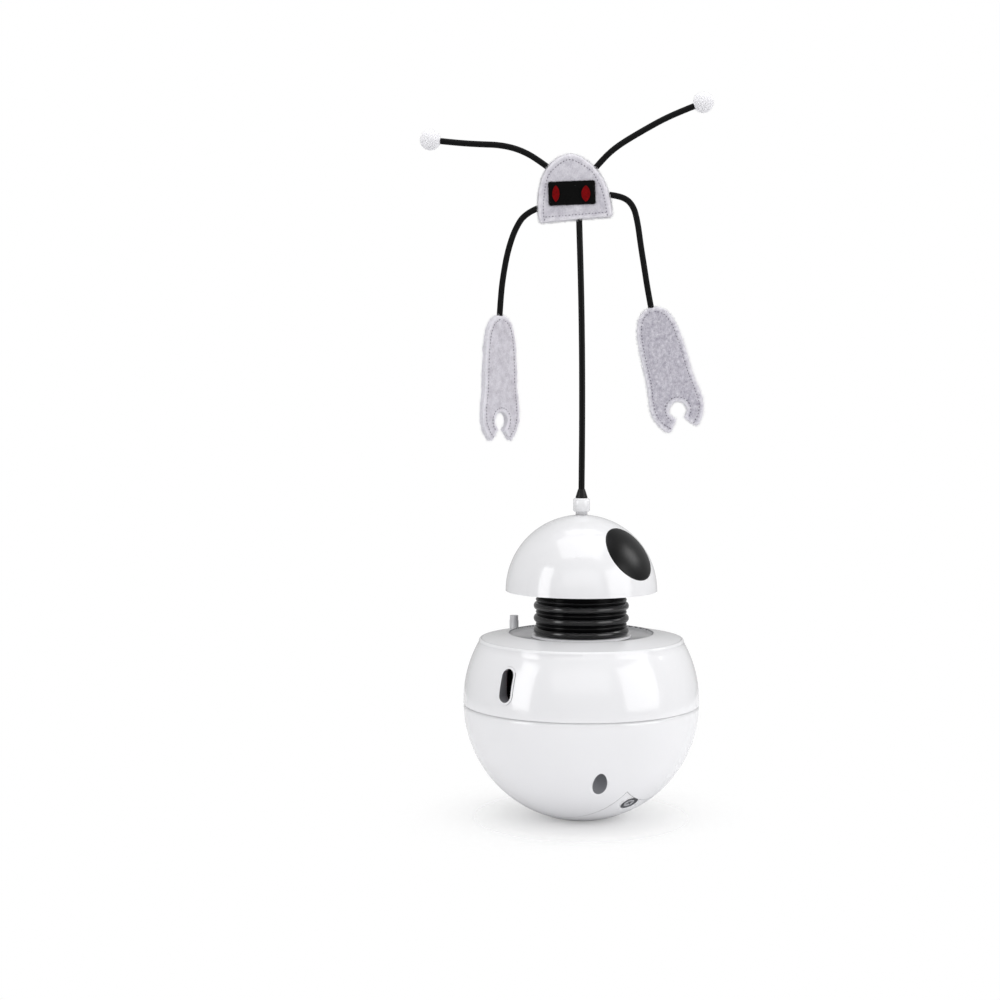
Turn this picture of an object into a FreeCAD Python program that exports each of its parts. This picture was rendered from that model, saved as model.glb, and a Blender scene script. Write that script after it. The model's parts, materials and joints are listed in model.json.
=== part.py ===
# Automatic cat laser toy: a weighted round body with a tilting laser, a turning head on a ribbed
# rubber neck, and a spring wand that carries a felt robot with dangling arms.
# Frame: millimetres, +Z up, origin at the centre of the flat that the body stands on,
# the viewer stands at -Y, +X to the viewer's right. Plan angles are measured from +X towards +Y.
import FreeCAD, Part
import math
import os

V = FreeCAD.Vector
UP = V(0, 0, 1)

# Body
BODY_R = 52.5
BASE_FLAT_R = 9.0
BAND = 1.3
WALL = 2.0
RIM_INSET = 6.9
RIM_ROUND = 0.5
RIM_WIDTH = 1.2
DECK_RISE = 1.6
DECK_THICK = 2.0
DECK_FIT = 0.1
LEDGE_DEPTH = 3.0
LEDGE_THICK = 1.8
RIDGE_INSET = 11.8
RIDGE_RISE = 2.4
RIDGE_LIP = 0.9
DISH_DEPTH = 2.0
SEAM_GROOVE = 0.3
LIP_HEIGHT = 2.5
LIP_THICK = 1.2
LIP_FIT = 0.15
LIP_ROOT = 3.0

# Shell screws, one of them just right of the front
SHELL_SCREWS = 3
SHELL_SCREW_FIRST = -79.5
SHELL_SCREW_INSET = 6.2
WELL_R = 3.15
WELL_WALL = 1.35
WELL_DROP = 11.72
SCREW_R = 1.3
SCREW_HEAD_R = 2.5
SCREW_HEAD_H = 1.9
SCREW_FIT = 0.1
SCREW_GRIP_FIT = 0.03
UPPER_BOSS_R = 3.4
UPPER_BOSS_LENGTH = 14.0
SHELL_SCREW_GRIP = 8.0
SHELL_SCREW_GAP = 0.2

# Laser slot in the upper shell
SLOT_ANGLE = -128.5
SLOT_RISE = 12.18
SLOT_WIDE = 6.2
SLOT_HIGH = 14.2
BEZEL_WALL = 0.9
BEZEL_PROUD = 0.25
BEZEL_DEPTH = 3.4
BEZEL_FIT = 0.05

# Battery door, its turn in plan and the direction of its screw
DOOR_TURN = 152.0
DOOR_SPARE_LENGTH = 0.35
DOOR_SPARE_WIDTH = 0.6
DOOR_FIT = 0.15
DOOR_SCREW_FROM_END = 3.1
DOOR_SCREW_ACROSS = -14.5
DOOR_RECESS_R = 4.2
DOOR_RECESS_DEPTH = 1.3
DOOR_BOSS_R = 4.0
DOOR_BOSS_DEPTH = 1.6
DOOR_SCREW_LENGTH = 2.6
DOOR_BOSS_ROOM = 0.3
DOOR_SEAT = 0.02
DOOR_HEAD_H = 1.0

# Batteries and their box
CELL_R = 7.2
CELL_LENGTH = 50.5
CELL_NUB_R = 2.7
CELL_NUB_H = 1.2
CELL_PITCH = 14.7
CELL_Z = 19.2
CELL_ROOM = 0.3
BOX_WALL = 2.0
BOX_END = 7.2
BOX_TOP = 1.8
CONTACT_THICK = 0.5
CONTACT_SPRING_H = 2.0
CONTACT_WIDE = 9.0
CONTACT_TALL = 9.0
CONTACT_SPRING_R = 3.0
CONTACT_WIRE = 0.5
SPHERE_ROOM = 0.1

# Ballast
BALLAST_GAP = 0.8
BALLAST_LENGTH = 46.0
BALLAST_LOW_Z = 14.0
BALLAST_HIGH_Z = 27.5

# Control board
BOARD_Z = 34.0
BOARD_THICK = 1.6
BOARD_ALONG = (-30.0, 30.0)
BOARD_ACROSS = (-22.0, 6.0)
BOARD_INSET = 4.0
BOARD_POST_R = 3.0
SMALL_SCREW_R = 1.0
SMALL_HEAD_R = 2.0
SMALL_HEAD_H = 1.4
BOARD_SCREW_LENGTH = 5.0

# Board components: along, across, their sizes and height
CHIP = (-6.0, -12.0, 10.0, 6.0, 1.6)
POWER_SOCKET = (12.0, -16.0, 8.0, 5.0, 5.0)
MOTOR_SOCKET = (12.0, -4.0, 8.0, 5.0, 5.0)
RESONATOR = (-12.0, -2.0, 3.0, 3.5, 3.0)
CAPACITOR_PLACE = (-17.0, -10.0)
CAPACITOR_R = 2.5
CAPACITOR_H = 7.0

# Drive: chassis plate, motor, gears and spindle
CHASSIS_DROP = 22.04
CHASSIS_THICK = 2.0
CHASSIS_MARGIN = 5.2
POSTS = 4
POST_FIRST = 5.0
POST_INSET = 9.4
POST_R = 3.2
POST_SCREW = 7.0
POST_SCREW_SPARE = 2.0
MODULE_FAST = 0.5
MODULE_SLOW = 0.6
PINION_TEETH = 10
WHEEL_TEETH = 40
SMALL_TEETH = 12
OUTPUT_TEETH = 60
BACKLASH = 0.14
PRESSURE_ANGLE = math.radians(20)
IDLER_ANGLE = 60.0
PINION_ANGLE = -30.0
FAST_FACE = 2.2
SLOW_FACE = 4.0
FAST_LIFT = 0.6
SLOW_LIFT = 4.0
GEAR_HUB_WALL = 2.5
GEAR_HUB_DROP = 2.2
GEAR_HUB_RISE = 1.5
GEAR_WEB_SINK = 1.2
GEAR_RIM = 3.0
SPINDLE_R = 2.5
SPINDLE_FIT = 0.04
BUSH_WALL = 1.5
BUSH_FLANGE = 1.5
BUSH_LENGTH = 6.0
BUSH_RIM = 1.64
HUB_DROP = 5.0
SPINDLE_DROP = 4.0
SPINDLE_STAND = 3.0
SPINDLE_SCREW_LENGTH = 6.0
SPINDLE_SCREW_SPARE = 2.0
SPINDLE_SCREW_HEAD_R = 4.0
CLIP_THICK = 0.8
CLIP_DEPTH = 0.6
CLIP_ROOM = 0.3
CLIP_RIM = 1.8
CLIP_GAP = 3.4
AXLE_R = 1.5
AXLE_HEIGHT = 15.0
AXLE_GRIP = 3.0
MOTOR_R = 10.0
MOTOR_LENGTH = 24.5
MOTOR_SHAFT_R = 1.0
MOTOR_SHAFT_PROUD = 1.0
MOTOR_NOSE_R = 3.0
MOTOR_NOSE_H = 1.5
MOTOR_SCREW_R = 6.2
MOTOR_SCREW_FIRST = 60.0
MOTOR_SCREW_LENGTH = 5.0
MOTOR_SCREW_SPARE = 1.0
TURNTABLE_RIM = 1.1
TURNTABLE_THICK = 1.0
TURNTABLE_LIFT = 0.3

# Rubber neck
NECK_RIB_RISE = 1.35
NECK_ROOT_R = 19.85
NECK_WALL = 1.5
NECK_PITCH = 5.5
NECK_RIBS = 3
NECK_FIRST_RIB = 1.72
NECK_RIB_HALF = 1.7
NECK_SMALL_HALF = 0.55
NECK_SMALL_RISE = 0.4
NECK_CUFF = 3.6
NECK_CUFF_FIT = 0.05
NECK_HEIGHT = 20.0

# Head
HEAD_R = 33.7
HEAD_WALL = 1.8
HEAD_BASE_THICK = 2.0
HEAD_BASE_SINK = 0.5
HEAD_FIT = 0.2
EYE_AZIMUTH = -36.5
EYE_ELEVATION = 34.5
EYE_R = 13.3
EYE_FIT = 0.08
EYE_FLANGE = 1.6
EYE_FLANGE_THICK = 1.2
HEAD_SCREWS = 3
HEAD_SCREW_FROM_EYE = 60.0
HEAD_SCREW_OUT = 3.65
HEAD_SCREW_LENGTH = 7.0
HEAD_SCREW_SPARE = 2.0
HEAD_BOSS_R = 3.2

# Wand socket, plug and rod
COLLAR_R = 3.7
COLLAR_STEM_R = 2.6
COLLAR_STEM_H = 1.5
COLLAR_HEIGHT = 5.9
COLLAR_STEM_DEPTH = 5.5
COLLAR_BORE_R = 1.9
PLUG_R = 1.86
PLUG_DEPTH = 7.0
FERRULE_R = 2.65
FERRULE_TIP_R = 1.55
FERRULE_H = 4.0
NUT_R = 4.6
NUT_H = 2.0
WAND_R = 1.375
WAND_FIT = 0.08
WAND_IN_PLUG = 6.0
WAND_IN_FELT = 10.0

# Felt robot: points of the outline in x and z
FELT_THICK = 2.4
FELT_HEAD = [(-18.6, 264.6), (-19.1, 271.5), (-17.8, 282.1), (-14.6, 288.4), (-6.0, 293.6), (3.4, 289.5),
             (7.7, 284.6), (11.0, 277.1), (13.0, 267.2)]
WAND_ENTRY = (-1.4, 265.4)
EYE_BAND = (-4.6, 277.0)
EYE_BAND_SIZE = (20.2, 10.0)
EYE_BAND_TURN = 2.0
EYE_BAND_THICK = 0.9
EYE_BAND_CORNER = 0.6
RED_EYES = [(-11.6, 276.6, 3.2, 7.4), (1.5, 276.6, 3.9, 7.2)]
RED_EYE_THICK = 0.6

# Claw: half widths at distances below its top, then the tip and the round notch
CLAW_SIDE = [(0.0, 1.5), (2.5, 5.6), (7.0, 8.0), (14.0, 9.3), (24.0, 9.9), (33.0, 10.3), (40.0, 11.3),
             (46.0, 11.4), (51.0, 9.6), (55.0, 6.2)]
CLAW_NOTCH_DOWN = 46.3
CLAW_NOTCH_R = 4.2
CLAW_MOUTH = 1.9
CLAW_THICK = 3.0
CLAW_FIT = 0.15
CLAW_LEFT_TILT = 0.0
CLAW_LEFT_TURN = 49.0
CLAW_RIGHT_TILT = 15.0
CLAW_RIGHT_TURN = 0.0

# Cords: routes chosen by hand along the real cords
CORD_R = 1.35
POM_R = 4.6
ARM_LEFT = [(-19.5, 0, 270.7), (-25.2, 0, 268.4), (-29.6, 0, 261.6), (-32.7, 0, 252.4), (-34.6, 0, 242.6),
            (-35.8, 0, 233.4), (-36.4, 0, 223.6)]
ARM_RIGHT = [(11.8, 0, 276.4), (17.9, 0, 275.7), (22.5, 0, 271.5), (24.4, 0, 263.8), (25.7, 0, 254.2),
             (27.3, 0, 244.6), (28.7, 0, 235.6), (30.4, 0, 226.8)]
ANTENNA_LEFT = [(-15.3, 0, 288.6), (-19.4, 0, 291.6), (-24.2, 0, 294.6), (-30.0, 0, 297.0), (-37.0, 0, 298.4),
                (-45.1, 0, 298.7), (-54.3, 0, 299.3), (-62.5, 0, 300.2)]
ANTENNA_RIGHT = [(5.6, 0, 288.0), (8.6, 0, 291.4), (12.4, 0, 295.2), (17.4, 0, 298.9), (25.2, 0, 303.5),
                 (34.4, 0, 308.6), (41.7, 0, 311.9), (48.6, 0, 314.6)]
WAND_BEND = [(0.2, 0, 175.0), (0.1, 0, 205.0), (-0.4, 0, 235.0)]

# Laser: pivot place in plan, height, and the dip of the beam at rest
LASER_PIVOT_INSET = 16.5
LASER_PIVOT_RISE = 4.3
LASER_DIP = 19.0
LASER_R = 3.25
LASER_LENGTH = 13.0
LASER_LENS_R = 2.0
LASER_LENS_THICK = 1.0
CRADLE_WALL = 1.2
CRADLE_LENGTH = 6.0
CRADLE_PIN_R = 1.25
CRADLE_SHOULDER = 1.0
CRADLE_PIN_LENGTH = 3.0
CHEEK_THICK = 1.8
CHEEK_GAP = 0.3
CHEEK_WIDE = 6.0
PIN_FIT = 0.05

# Power button, switch and spring
BUTTON_INSET = 9.1
BUTTON_ANGLE = 150.1
BUTTON_R = 2.05
BUTTON_TOP_R = 1.9
BUTTON_HEIGHT = 5.7
BUTTON_STEP = 2.2
BUTTON_FIT = 0.06
BUTTON_FLANGE_R = 3.2
BUTTON_FLANGE_H = 1.0
BUTTON_TRAVEL = 1.8
BUTTON_STEM_R = 1.2
SWITCH_SIDE = 7.0
SWITCH_H = 7.0
SPRING_WIRE_R = 0.25
SPRING_R = 1.75
SPRING_TURNS = 7
HELIX_STEPS = 16

# Worked out sizes
RIM_R = BODY_R - RIM_INSET
DECK_R = RIM_R - RIM_WIDTH
RIDGE_R = DECK_R - RIDGE_INSET
POST_RADIUS = DECK_R - POST_INSET
CHASSIS_R = POST_RADIUS + CHASSIS_MARGIN
LOW_C = math.sqrt(BODY_R ** 2 - BASE_FLAT_R ** 2)
SEAM_Z = LOW_C
UP_C = SEAM_Z + BAND
INNER_R = BODY_R - WALL
SHELL_SCREW_R = INNER_R - SHELL_SCREW_INSET
WELL_TOP_Z = SEAM_Z - WELL_DROP
SLOT_Z = UP_C + SLOT_RISE
RIM_Z = UP_C + math.sqrt(BODY_R ** 2 - RIM_R ** 2)
DECK_EDGE_Z = RIM_Z + DECK_RISE
RIDGE_Z = DECK_EDGE_Z + RIDGE_RISE
DISH_Z = RIDGE_Z - DISH_DEPTH
DECK_UNDER_Z = DISH_Z - DECK_THICK
LEDGE_Z = DECK_EDGE_Z - DECK_THICK
CHASSIS_Z = DECK_UNDER_Z - CHASSIS_DROP
PLATE_TOP_Z = CHASSIS_Z + CHASSIS_THICK
AXLE_TOP_Z = PLATE_TOP_Z + AXLE_HEIGHT
SPINDLE_LOW_Z = CHASSIS_Z - SPINDLE_DROP
CLIP_Z = CHASSIS_Z - BUSH_FLANGE - CLIP_ROOM - CLIP_THICK
BAY_HALF_LENGTH = CELL_LENGTH / 2 + CONTACT_THICK + CONTACT_SPRING_H / 2 + CELL_ROOM
BAY_HALF_WIDTH = CELL_PITCH + CELL_R + CELL_ROOM
DOOR_LENGTH = 2 * (BAY_HALF_LENGTH + BOX_END + DOOR_SPARE_LENGTH)
DOOR_WIDTH = 2 * (BAY_HALF_WIDTH + DOOR_SPARE_WIDTH)
DOOR_SCREW_ALONG = DOOR_SCREW_FROM_END - DOOR_LENGTH / 2
LASER_PIVOT_R = INNER_R - LASER_PIVOT_INSET
LASER_PIVOT_Z = SLOT_Z + LASER_PIVOT_RISE
BAY_TOP_Z = CELL_Z + CELL_R + CELL_ROOM
BOX_TOP_Z = BAY_TOP_Z + BOX_TOP
OUTPUT_PITCH_R = MODULE_SLOW * OUTPUT_TEETH / 2
SMALL_PITCH_R = MODULE_SLOW * SMALL_TEETH / 2
WHEEL_PITCH_R = MODULE_FAST * WHEEL_TEETH / 2
PINION_PITCH_R = MODULE_FAST * PINION_TEETH / 2
NECK_RIB_R = NECK_ROOT_R + NECK_RIB_RISE
NECK_BORE_R = NECK_ROOT_R - NECK_WALL
TURNTABLE_R = NECK_RIB_R + TURNTABLE_RIM
HEAD_SCREW_R = NECK_ROOT_R + HEAD_SCREW_OUT
TABLE_Z = DISH_Z + TURNTABLE_LIFT
NECK_Z = TABLE_Z + TURNTABLE_THICK
NECK_TOP_Z = NECK_Z + NECK_HEIGHT
HEAD_Z = NECK_TOP_Z - HEAD_BASE_SINK
COLLAR_Z = HEAD_Z + HEAD_R + COLLAR_STEM_H
COLLAR_TOP_Z = COLLAR_Z + COLLAR_HEIGHT
FERRULE_TOP_Z = COLLAR_TOP_Z + FERRULE_H


def polar(radius, angle, z=0.0):
    """Point at a radius and a plan angle in degrees."""
    a = math.radians(angle)
    return V(radius * math.cos(a), radius * math.sin(a), z)


BUTTON_PLACE = polar(DECK_R - BUTTON_INSET, BUTTON_ANGLE)
IDLER_AT = polar(OUTPUT_PITCH_R + SMALL_PITCH_R, IDLER_ANGLE)
PINION_AT = IDLER_AT + polar(WHEEL_PITCH_R + PINION_PITCH_R, PINION_ANGLE)


def cylinder(radius, z0, z1, at=V(0, 0, 0)):
    """Upright cylinder between two heights."""
    return Part.makeCylinder(radius, z1 - z0, V(at.x, at.y, z0))


def tube(outer, inner, z0, z1, at=V(0, 0, 0)):
    """Upright tube between two heights."""
    return cylinder(outer, z0, z1, at).cut(cylinder(inner, z0 - 1, z1 + 1, at))


def turned(start, *steps):
    """Solid turned about Z from a closed profile in (r, z). A step is a point, or a pair
    of points for an arc through the first to the second."""
    edges = []
    here = V(start[0], 0, start[1])
    for step in steps + (start,):
        arc = isinstance(step[0], tuple)
        end = step[1] if arc else step
        there = V(end[0], 0, end[1])
        if here.distanceToPoint(there) > 1e-6:
            if arc:
                edges.append(Part.Arc(here, V(step[0][0], 0, step[0][1]), there).toShape())
            else:
                edges.append(Part.LineSegment(here, there).toShape())
        here = there
    return Part.Face(Part.Wire(edges)).revolve(V(0, 0, 0), UP, 360)


def on_sphere(radius, centre, r):
    """Height above a sphere's centre at a distance from the axis, as a profile point."""
    return (r, centre + math.sqrt(max(radius ** 2 - r ** 2, 0)))


def under_sphere(radius, centre, r):
    """The same below the centre."""
    return (r, centre - math.sqrt(max(radius ** 2 - r ** 2, 0)))


def arc_between(maker, radius, centre, r0, r1):
    """Arc step along a sphere's profile from r0 to r1."""
    half = (math.asin(min(r0 / radius, 1)) + math.asin(min(r1 / radius, 1))) / 2
    return (maker(radius, centre, radius * math.sin(half)), maker(radius, centre, r1))


def door_place(along, across, z=0.0):
    """Point given along and across the battery door, in the body's frame."""
    a = math.radians(DOOR_TURN)
    return V(along * math.cos(a) + across * math.sin(a), along * math.sin(a) - across * math.cos(a), z)


def door_block(along0, along1, across0, across1, z0, z1):
    """Box square to the battery door."""
    block = Part.makeBox(along1 - along0, across1 - across0, z1 - z0, V(along0, -across1, z0))
    block.rotate(V(0, 0, 0), UP, DOOR_TURN)
    return block


def screw(length, at, radius, head_r, head_h, direction=UP):
    """Pan head screw whose head seats at a point, its shank along the direction."""
    body = cylinder(head_r, -head_h, 0).fuse(cylinder(radius, 0, length))
    reach = head_r * 1.3
    slot = head_r * 0.28
    for size_x, size_y in ((reach, slot), (slot, reach)):
        body = body.cut(Part.makeBox(size_x, size_y, head_h, V(-size_x / 2, -size_y / 2, -head_h * 1.4)))
    body.Placement = FreeCAD.Placement(at, FreeCAD.Rotation(UP, direction))
    return body.removeSplitter()


def gear(module, teeth, addendum, z0, z1, phase):
    """Spur gear about Z with involute flanks, one tooth centred on the phase angle."""
    pitch_r = module * teeth / 2
    base_r = pitch_r * math.cos(PRESSURE_ANGLE)
    tip_r = pitch_r + addendum * module
    root_r = pitch_r - 1.3 * module
    half_pitch = math.pi / (2 * teeth) - BACKLASH / (4 * pitch_r)
    roll = math.tan(PRESSURE_ANGLE) - PRESSURE_ANGLE

    def half_angle(r):
        a = math.acos(min(base_r / max(r, base_r), 1))
        return half_pitch + roll - (math.tan(a) - a)

    low_r = max(base_r, root_r + 0.05 * module)
    flank = [root_r] + [low_r + (tip_r - low_r) * i / 3 for i in range(4)]
    points = []
    for tooth in range(teeth):
        centre = math.radians(phase) + 2 * math.pi * tooth / teeth
        for sign, radii in ((-1, flank), (1, flank[::-1])):
            for r in radii:
                a = centre + sign * half_angle(r)
                points.append(V(r * math.cos(a), r * math.sin(a), z0))
    return Part.Face(Part.makePolygon(points + points[:1])).extrude(V(0, 0, z1 - z0))


def rounded_route(points):
    """Wire of straight runs joined by tangent arcs, with its smallest radius."""
    edges = []
    here = points[0]
    smallest = 1e9
    for before, corner, after in zip(points, points[1:], points[2:]):
        a = (before - corner).normalize()
        b = (after - corner).normalize()
        half_turn = (math.pi - a.getAngle(b)) / 2
        reach = 0.45 * min(before.distanceToPoint(corner), corner.distanceToPoint(after))
        radius = reach / math.tan(half_turn)
        smallest = min(smallest, radius)
        start = corner + a * reach
        end = corner + b * reach
        middle = corner + (a + b).normalize() * (radius / math.cos(half_turn) - radius)
        edges.append(Part.LineSegment(here, start).toShape())
        edges.append(Part.Arc(start, middle, end).toShape())
        here = end
    edges.append(Part.LineSegment(here, points[-1]).toShape())
    return Part.Wire(edges), smallest


def cord(name, points, radius):
    """Round cord along a route; prints its length, least radius and volume."""
    route, smallest = rounded_route([V(*p) for p in points])
    first = V(*points[1]) - V(*points[0])
    section = Part.Wire(Part.makeCircle(radius, V(*points[0]), first))
    shape = route.makePipeShell([section], True, False)
    ideal = math.pi * radius ** 2 * route.Length
    print(f"{name}: length {route.Length:.1f} least radius {smallest:.1f} volume {shape.Volume / ideal:.4f}")
    return shape


def shell_screw_places():
    """Plan places of the screws that join the two shells."""
    return [polar(SHELL_SCREW_R, SHELL_SCREW_FIRST + 360 * i / SHELL_SCREWS) for i in range(SHELL_SCREWS)]


def door_screw_line():
    """Point on the body's surface at the door screw, and the direction into the body."""
    at = door_place(DOOR_SCREW_ALONG, DOOR_SCREW_ACROSS)
    r = math.hypot(at.x, at.y)
    surface = V(at.x, at.y, under_sphere(BODY_R, LOW_C, r)[1])
    return surface, (V(0, 0, LOW_C) - surface).normalize()


def lower_shell():
    """Lower shell with its lip, screw wells and the door opening."""
    lip_r = INNER_R - LIP_FIT
    lip_in = lip_r - LIP_THICK
    root = under_sphere(INNER_R, LOW_C, lip_in)
    root_z = min(SEAM_Z - LIP_ROOT, root[1])
    join = math.sqrt(INNER_R ** 2 - (root_z - LOW_C) ** 2)
    shell = turned((0, 0), (BASE_FLAT_R, 0),
                   arc_between(under_sphere, BODY_R, LOW_C, BASE_FLAT_R, BODY_R - SEAM_GROOVE / 10),
                   (BODY_R - SEAM_GROOVE, SEAM_Z), (lip_r, SEAM_Z), (lip_r, SEAM_Z + LIP_HEIGHT),
                   (lip_in, SEAM_Z + LIP_HEIGHT), (lip_in, root_z), (join, root_z),
                   arc_between(under_sphere, INNER_R, LOW_C, join, 0))
    inside = Part.makeSphere(BODY_R, V(0, 0, LOW_C))
    for at in shell_screw_places():
        boss = cylinder(WELL_R + WELL_WALL, 0, SEAM_Z, at).common(inside)
        shell = shell.fuse(boss)
    for at in shell_screw_places():
        shell = shell.cut(cylinder(WELL_R, -1, WELL_TOP_Z, at))
        shell = shell.cut(cylinder(SCREW_R + SCREW_FIT, 0, SEAM_Z + 1, at))
    half_l, half_w = DOOR_LENGTH / 2, DOOR_WIDTH / 2
    return shell.cut(door_block(-half_l, half_l, -half_w, half_w, -1, SEAM_Z))


def battery_door():
    """Door cut from the same ball, with the flat that the toy stands on and its screw boss."""
    ball = turned((0, 0), (BASE_FLAT_R, 0), arc_between(under_sphere, BODY_R, LOW_C, BASE_FLAT_R, BODY_R),
                  (INNER_R, LOW_C), arc_between(under_sphere, INNER_R, LOW_C, INNER_R, 0))
    half_l, half_w = DOOR_LENGTH / 2 - DOOR_FIT, DOOR_WIDTH / 2 - DOOR_FIT
    door = ball.common(door_block(-half_l, half_l, -half_w, half_w, -1, SEAM_Z))
    surface, inward = door_screw_line()
    boss = Part.makeCylinder(DOOR_BOSS_R, DOOR_BOSS_DEPTH, surface + inward * WALL / 2, inward)
    door = door.fuse(boss)
    recess = Part.makeCylinder(DOOR_RECESS_R, BODY_R, surface + inward * (DOOR_RECESS_DEPTH - BODY_R), inward)
    hole = Part.makeCylinder(SCREW_R + SCREW_FIT, BODY_R, surface, inward)
    return door.cut(recess).cut(hole)


def battery_box():
    """Box for three cells, open downwards, its rim resting on the door and the shell."""
    end = BAY_HALF_LENGTH + BOX_END
    side = BAY_HALF_WIDTH + BOX_WALL
    box = door_block(-end, end, -side, side, 0, BOX_TOP_Z)
    box = box.common(Part.makeSphere(INNER_R - SPHERE_ROOM, V(0, 0, LOW_C)))
    bay = door_block(-BAY_HALF_LENGTH, BAY_HALF_LENGTH, -BAY_HALF_WIDTH, BAY_HALF_WIDTH, 0, BAY_TOP_Z)
    box = box.cut(bay)
    pocket = BAY_HALF_LENGTH + BOX_WALL
    for low, high in ((-end + BOX_WALL, -pocket), (pocket, end - BOX_WALL)):
        box = box.cut(door_block(low, high, DOOR_BOSS_R - 10, side - BOX_WALL * 2, CELL_Z, BOX_TOP_Z + 1))
    surface, inward = door_screw_line()
    top = surface + inward * (WALL / 2 + DOOR_BOSS_DEPTH + DOOR_BOSS_ROOM)
    room = cylinder(DOOR_BOSS_R + WALL, 0, BAY_TOP_Z, surface + inward * DOOR_BOSS_DEPTH / 2)
    room = room.common(Part.makeCylinder(BODY_R, BODY_R, top - inward * BODY_R, inward))
    box = box.cut(room)
    tip = DOOR_SCREW_LENGTH + DOOR_RECESS_DEPTH - WALL / 2 - DOOR_BOSS_DEPTH
    seat = Part.makeCone(SCREW_R * 2 + tip, SCREW_R, tip + DOOR_BOSS_ROOM,
                         top - inward * DOOR_BOSS_ROOM, inward)
    box = box.cut(seat)
    for at in board_post_places():
        box = box.fuse(cylinder(BOARD_POST_R, BOX_TOP_Z - BOX_TOP / 2, BOARD_Z, at))
        box = box.cut(cylinder(SMALL_SCREW_R, BOX_TOP_Z - BOX_TOP / 2, BOARD_Z + 1, at))
    return box


def board_post_places():
    """Places of the control board's screws."""
    along = [a + s * BOARD_INSET for a, s in zip(BOARD_ALONG, (1, -1))]
    across = [a + s * BOARD_INSET for a, s in zip(BOARD_ACROSS, (1, -1))]
    return [door_place(a, c) for a in along for c in across]


def cell(index, sign):
    """One cell along the door, its raised contact at the end that the sign gives."""
    body = CELL_LENGTH - CELL_NUB_H
    shape = Part.makeCylinder(CELL_R, body, V(-CELL_LENGTH / 2, 0, 0), V(1, 0, 0))
    shape = shape.makeChamfer(0.5, [e for e in shape.Edges if abs(e.Length - 2 * math.pi * CELL_R) < 0.1])
    shape = shape.fuse(Part.makeCylinder(CELL_NUB_R, CELL_NUB_H, V(body - CELL_LENGTH / 2, 0, 0), V(1, 0, 0)))
    if sign < 0:
        shape.rotate(V(0, 0, 0), UP, 180)
    shape.translate(V(cell_shift(sign), index * CELL_PITCH, CELL_Z))
    shape.rotate(V(0, 0, 0), UP, DOOR_TURN)
    return shape


def cell_shift(sign):
    """How far a cell lies towards its flat contact."""
    return sign * (BAY_HALF_LENGTH - CONTACT_THICK - CELL_ROOM / 2 - CELL_LENGTH / 2)


def contact_plates():
    """Spring steel plates at both ends of each cell."""
    plates = []
    for index in (-1, 0, 1):
        y = index * CELL_PITCH
        for x in (-BAY_HALF_LENGTH, BAY_HALF_LENGTH - CONTACT_THICK):
            plate = Part.makeBox(CONTACT_THICK, CONTACT_WIDE, CONTACT_TALL,
                                 V(x, y - CONTACT_WIDE / 2, CELL_Z - CONTACT_TALL / 2))
            plate.rotate(V(0, 0, 0), UP, DOOR_TURN)
            plates.append(plate)
    return Part.Compound(plates)


def contact_springs():
    """One short coil at the flat end of each cell."""
    springs = []
    for index, sign in ((-1, 1), (0, -1), (1, 1)):
        gap = 2 * BAY_HALF_LENGTH - 2 * CONTACT_THICK - CELL_LENGTH - CELL_ROOM
        coil = helix(CONTACT_SPRING_R - CONTACT_WIRE, CONTACT_WIRE / 2, gap, 2)
        coil.rotate(V(0, 0, 0), V(0, 1, 0), 90 * sign)
        coil.translate(V(-sign * (BAY_HALF_LENGTH - CONTACT_THICK), index * CELL_PITCH, CELL_Z))
        coil.rotate(V(0, 0, 0), UP, DOOR_TURN)
        springs.append(coil)
    return Part.Compound(springs)


def helix(radius, wire_r, height, turns):
    """Coil spring about Z whose wire stays between z = 0 and the height."""
    rise = (height - 2 * wire_r) / turns
    steps = [i / HELIX_STEPS for i in range(int(HELIX_STEPS * turns) + 1)]
    points = [polar(radius, 360 * s, rise * s) for s in steps]
    path = Part.BSplineCurve()
    path.interpolate(points)
    section = Part.Wire(Part.makeCircle(wire_r, points[0], V(0, 1, rise / (2 * math.pi * radius))))
    coil = Part.Wire([path.toShape()]).makePipeShell([section], True, True)
    coil.translate(V(0, 0, wire_r))
    return coil


def ballast(sign):
    """Steel block beside the battery box, shaped to the ball."""
    side = BAY_HALF_WIDTH + BOX_WALL + BALLAST_GAP
    reach = (side, BODY_R) if sign > 0 else (-BODY_R, -side)
    half = BALLAST_LENGTH / 2
    block = door_block(-half, half, *reach, BALLAST_LOW_Z, BALLAST_HIGH_Z)
    block = block.common(Part.makeSphere(INNER_R - SPHERE_ROOM, V(0, 0, LOW_C)))
    for at in shell_screw_places():
        block = block.cut(cylinder(WELL_R + WELL_WALL + BALLAST_GAP, 0, SEAM_Z, at))
    return block


def control_board():
    """Glass fibre board on the battery box."""
    board = door_block(*BOARD_ALONG, *BOARD_ACROSS, BOARD_Z, BOARD_Z + BOARD_THICK)
    for at in board_post_places():
        board = board.cut(cylinder(SMALL_SCREW_R + SCREW_FIT, BOARD_Z - 1, BOARD_Z + BOARD_THICK + 1, at))
    return board


def board_components():
    """Chip, capacitor, resonator and two wire sockets on the board."""
    top = BOARD_Z + BOARD_THICK
    parts = [door_block(along, along + long, across, across + wide, top, top + high)
             for along, across, long, wide, high in (CHIP, POWER_SOCKET, MOTOR_SOCKET, RESONATOR)]
    parts.append(cylinder(CAPACITOR_R, top, top + CAPACITOR_H, door_place(*CAPACITOR_PLACE)))
    return Part.Compound(parts)


def small_screws(places, seat_z, length, down=True):
    """Group of small screws whose heads seat at one height."""
    way = V(0, 0, -1) if down else UP
    return Part.Compound([screw(length, V(at.x, at.y, seat_z), SMALL_SCREW_R - SCREW_GRIP_FIT,
                                SMALL_HEAD_R, SMALL_HEAD_H, way) for at in places])


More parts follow.
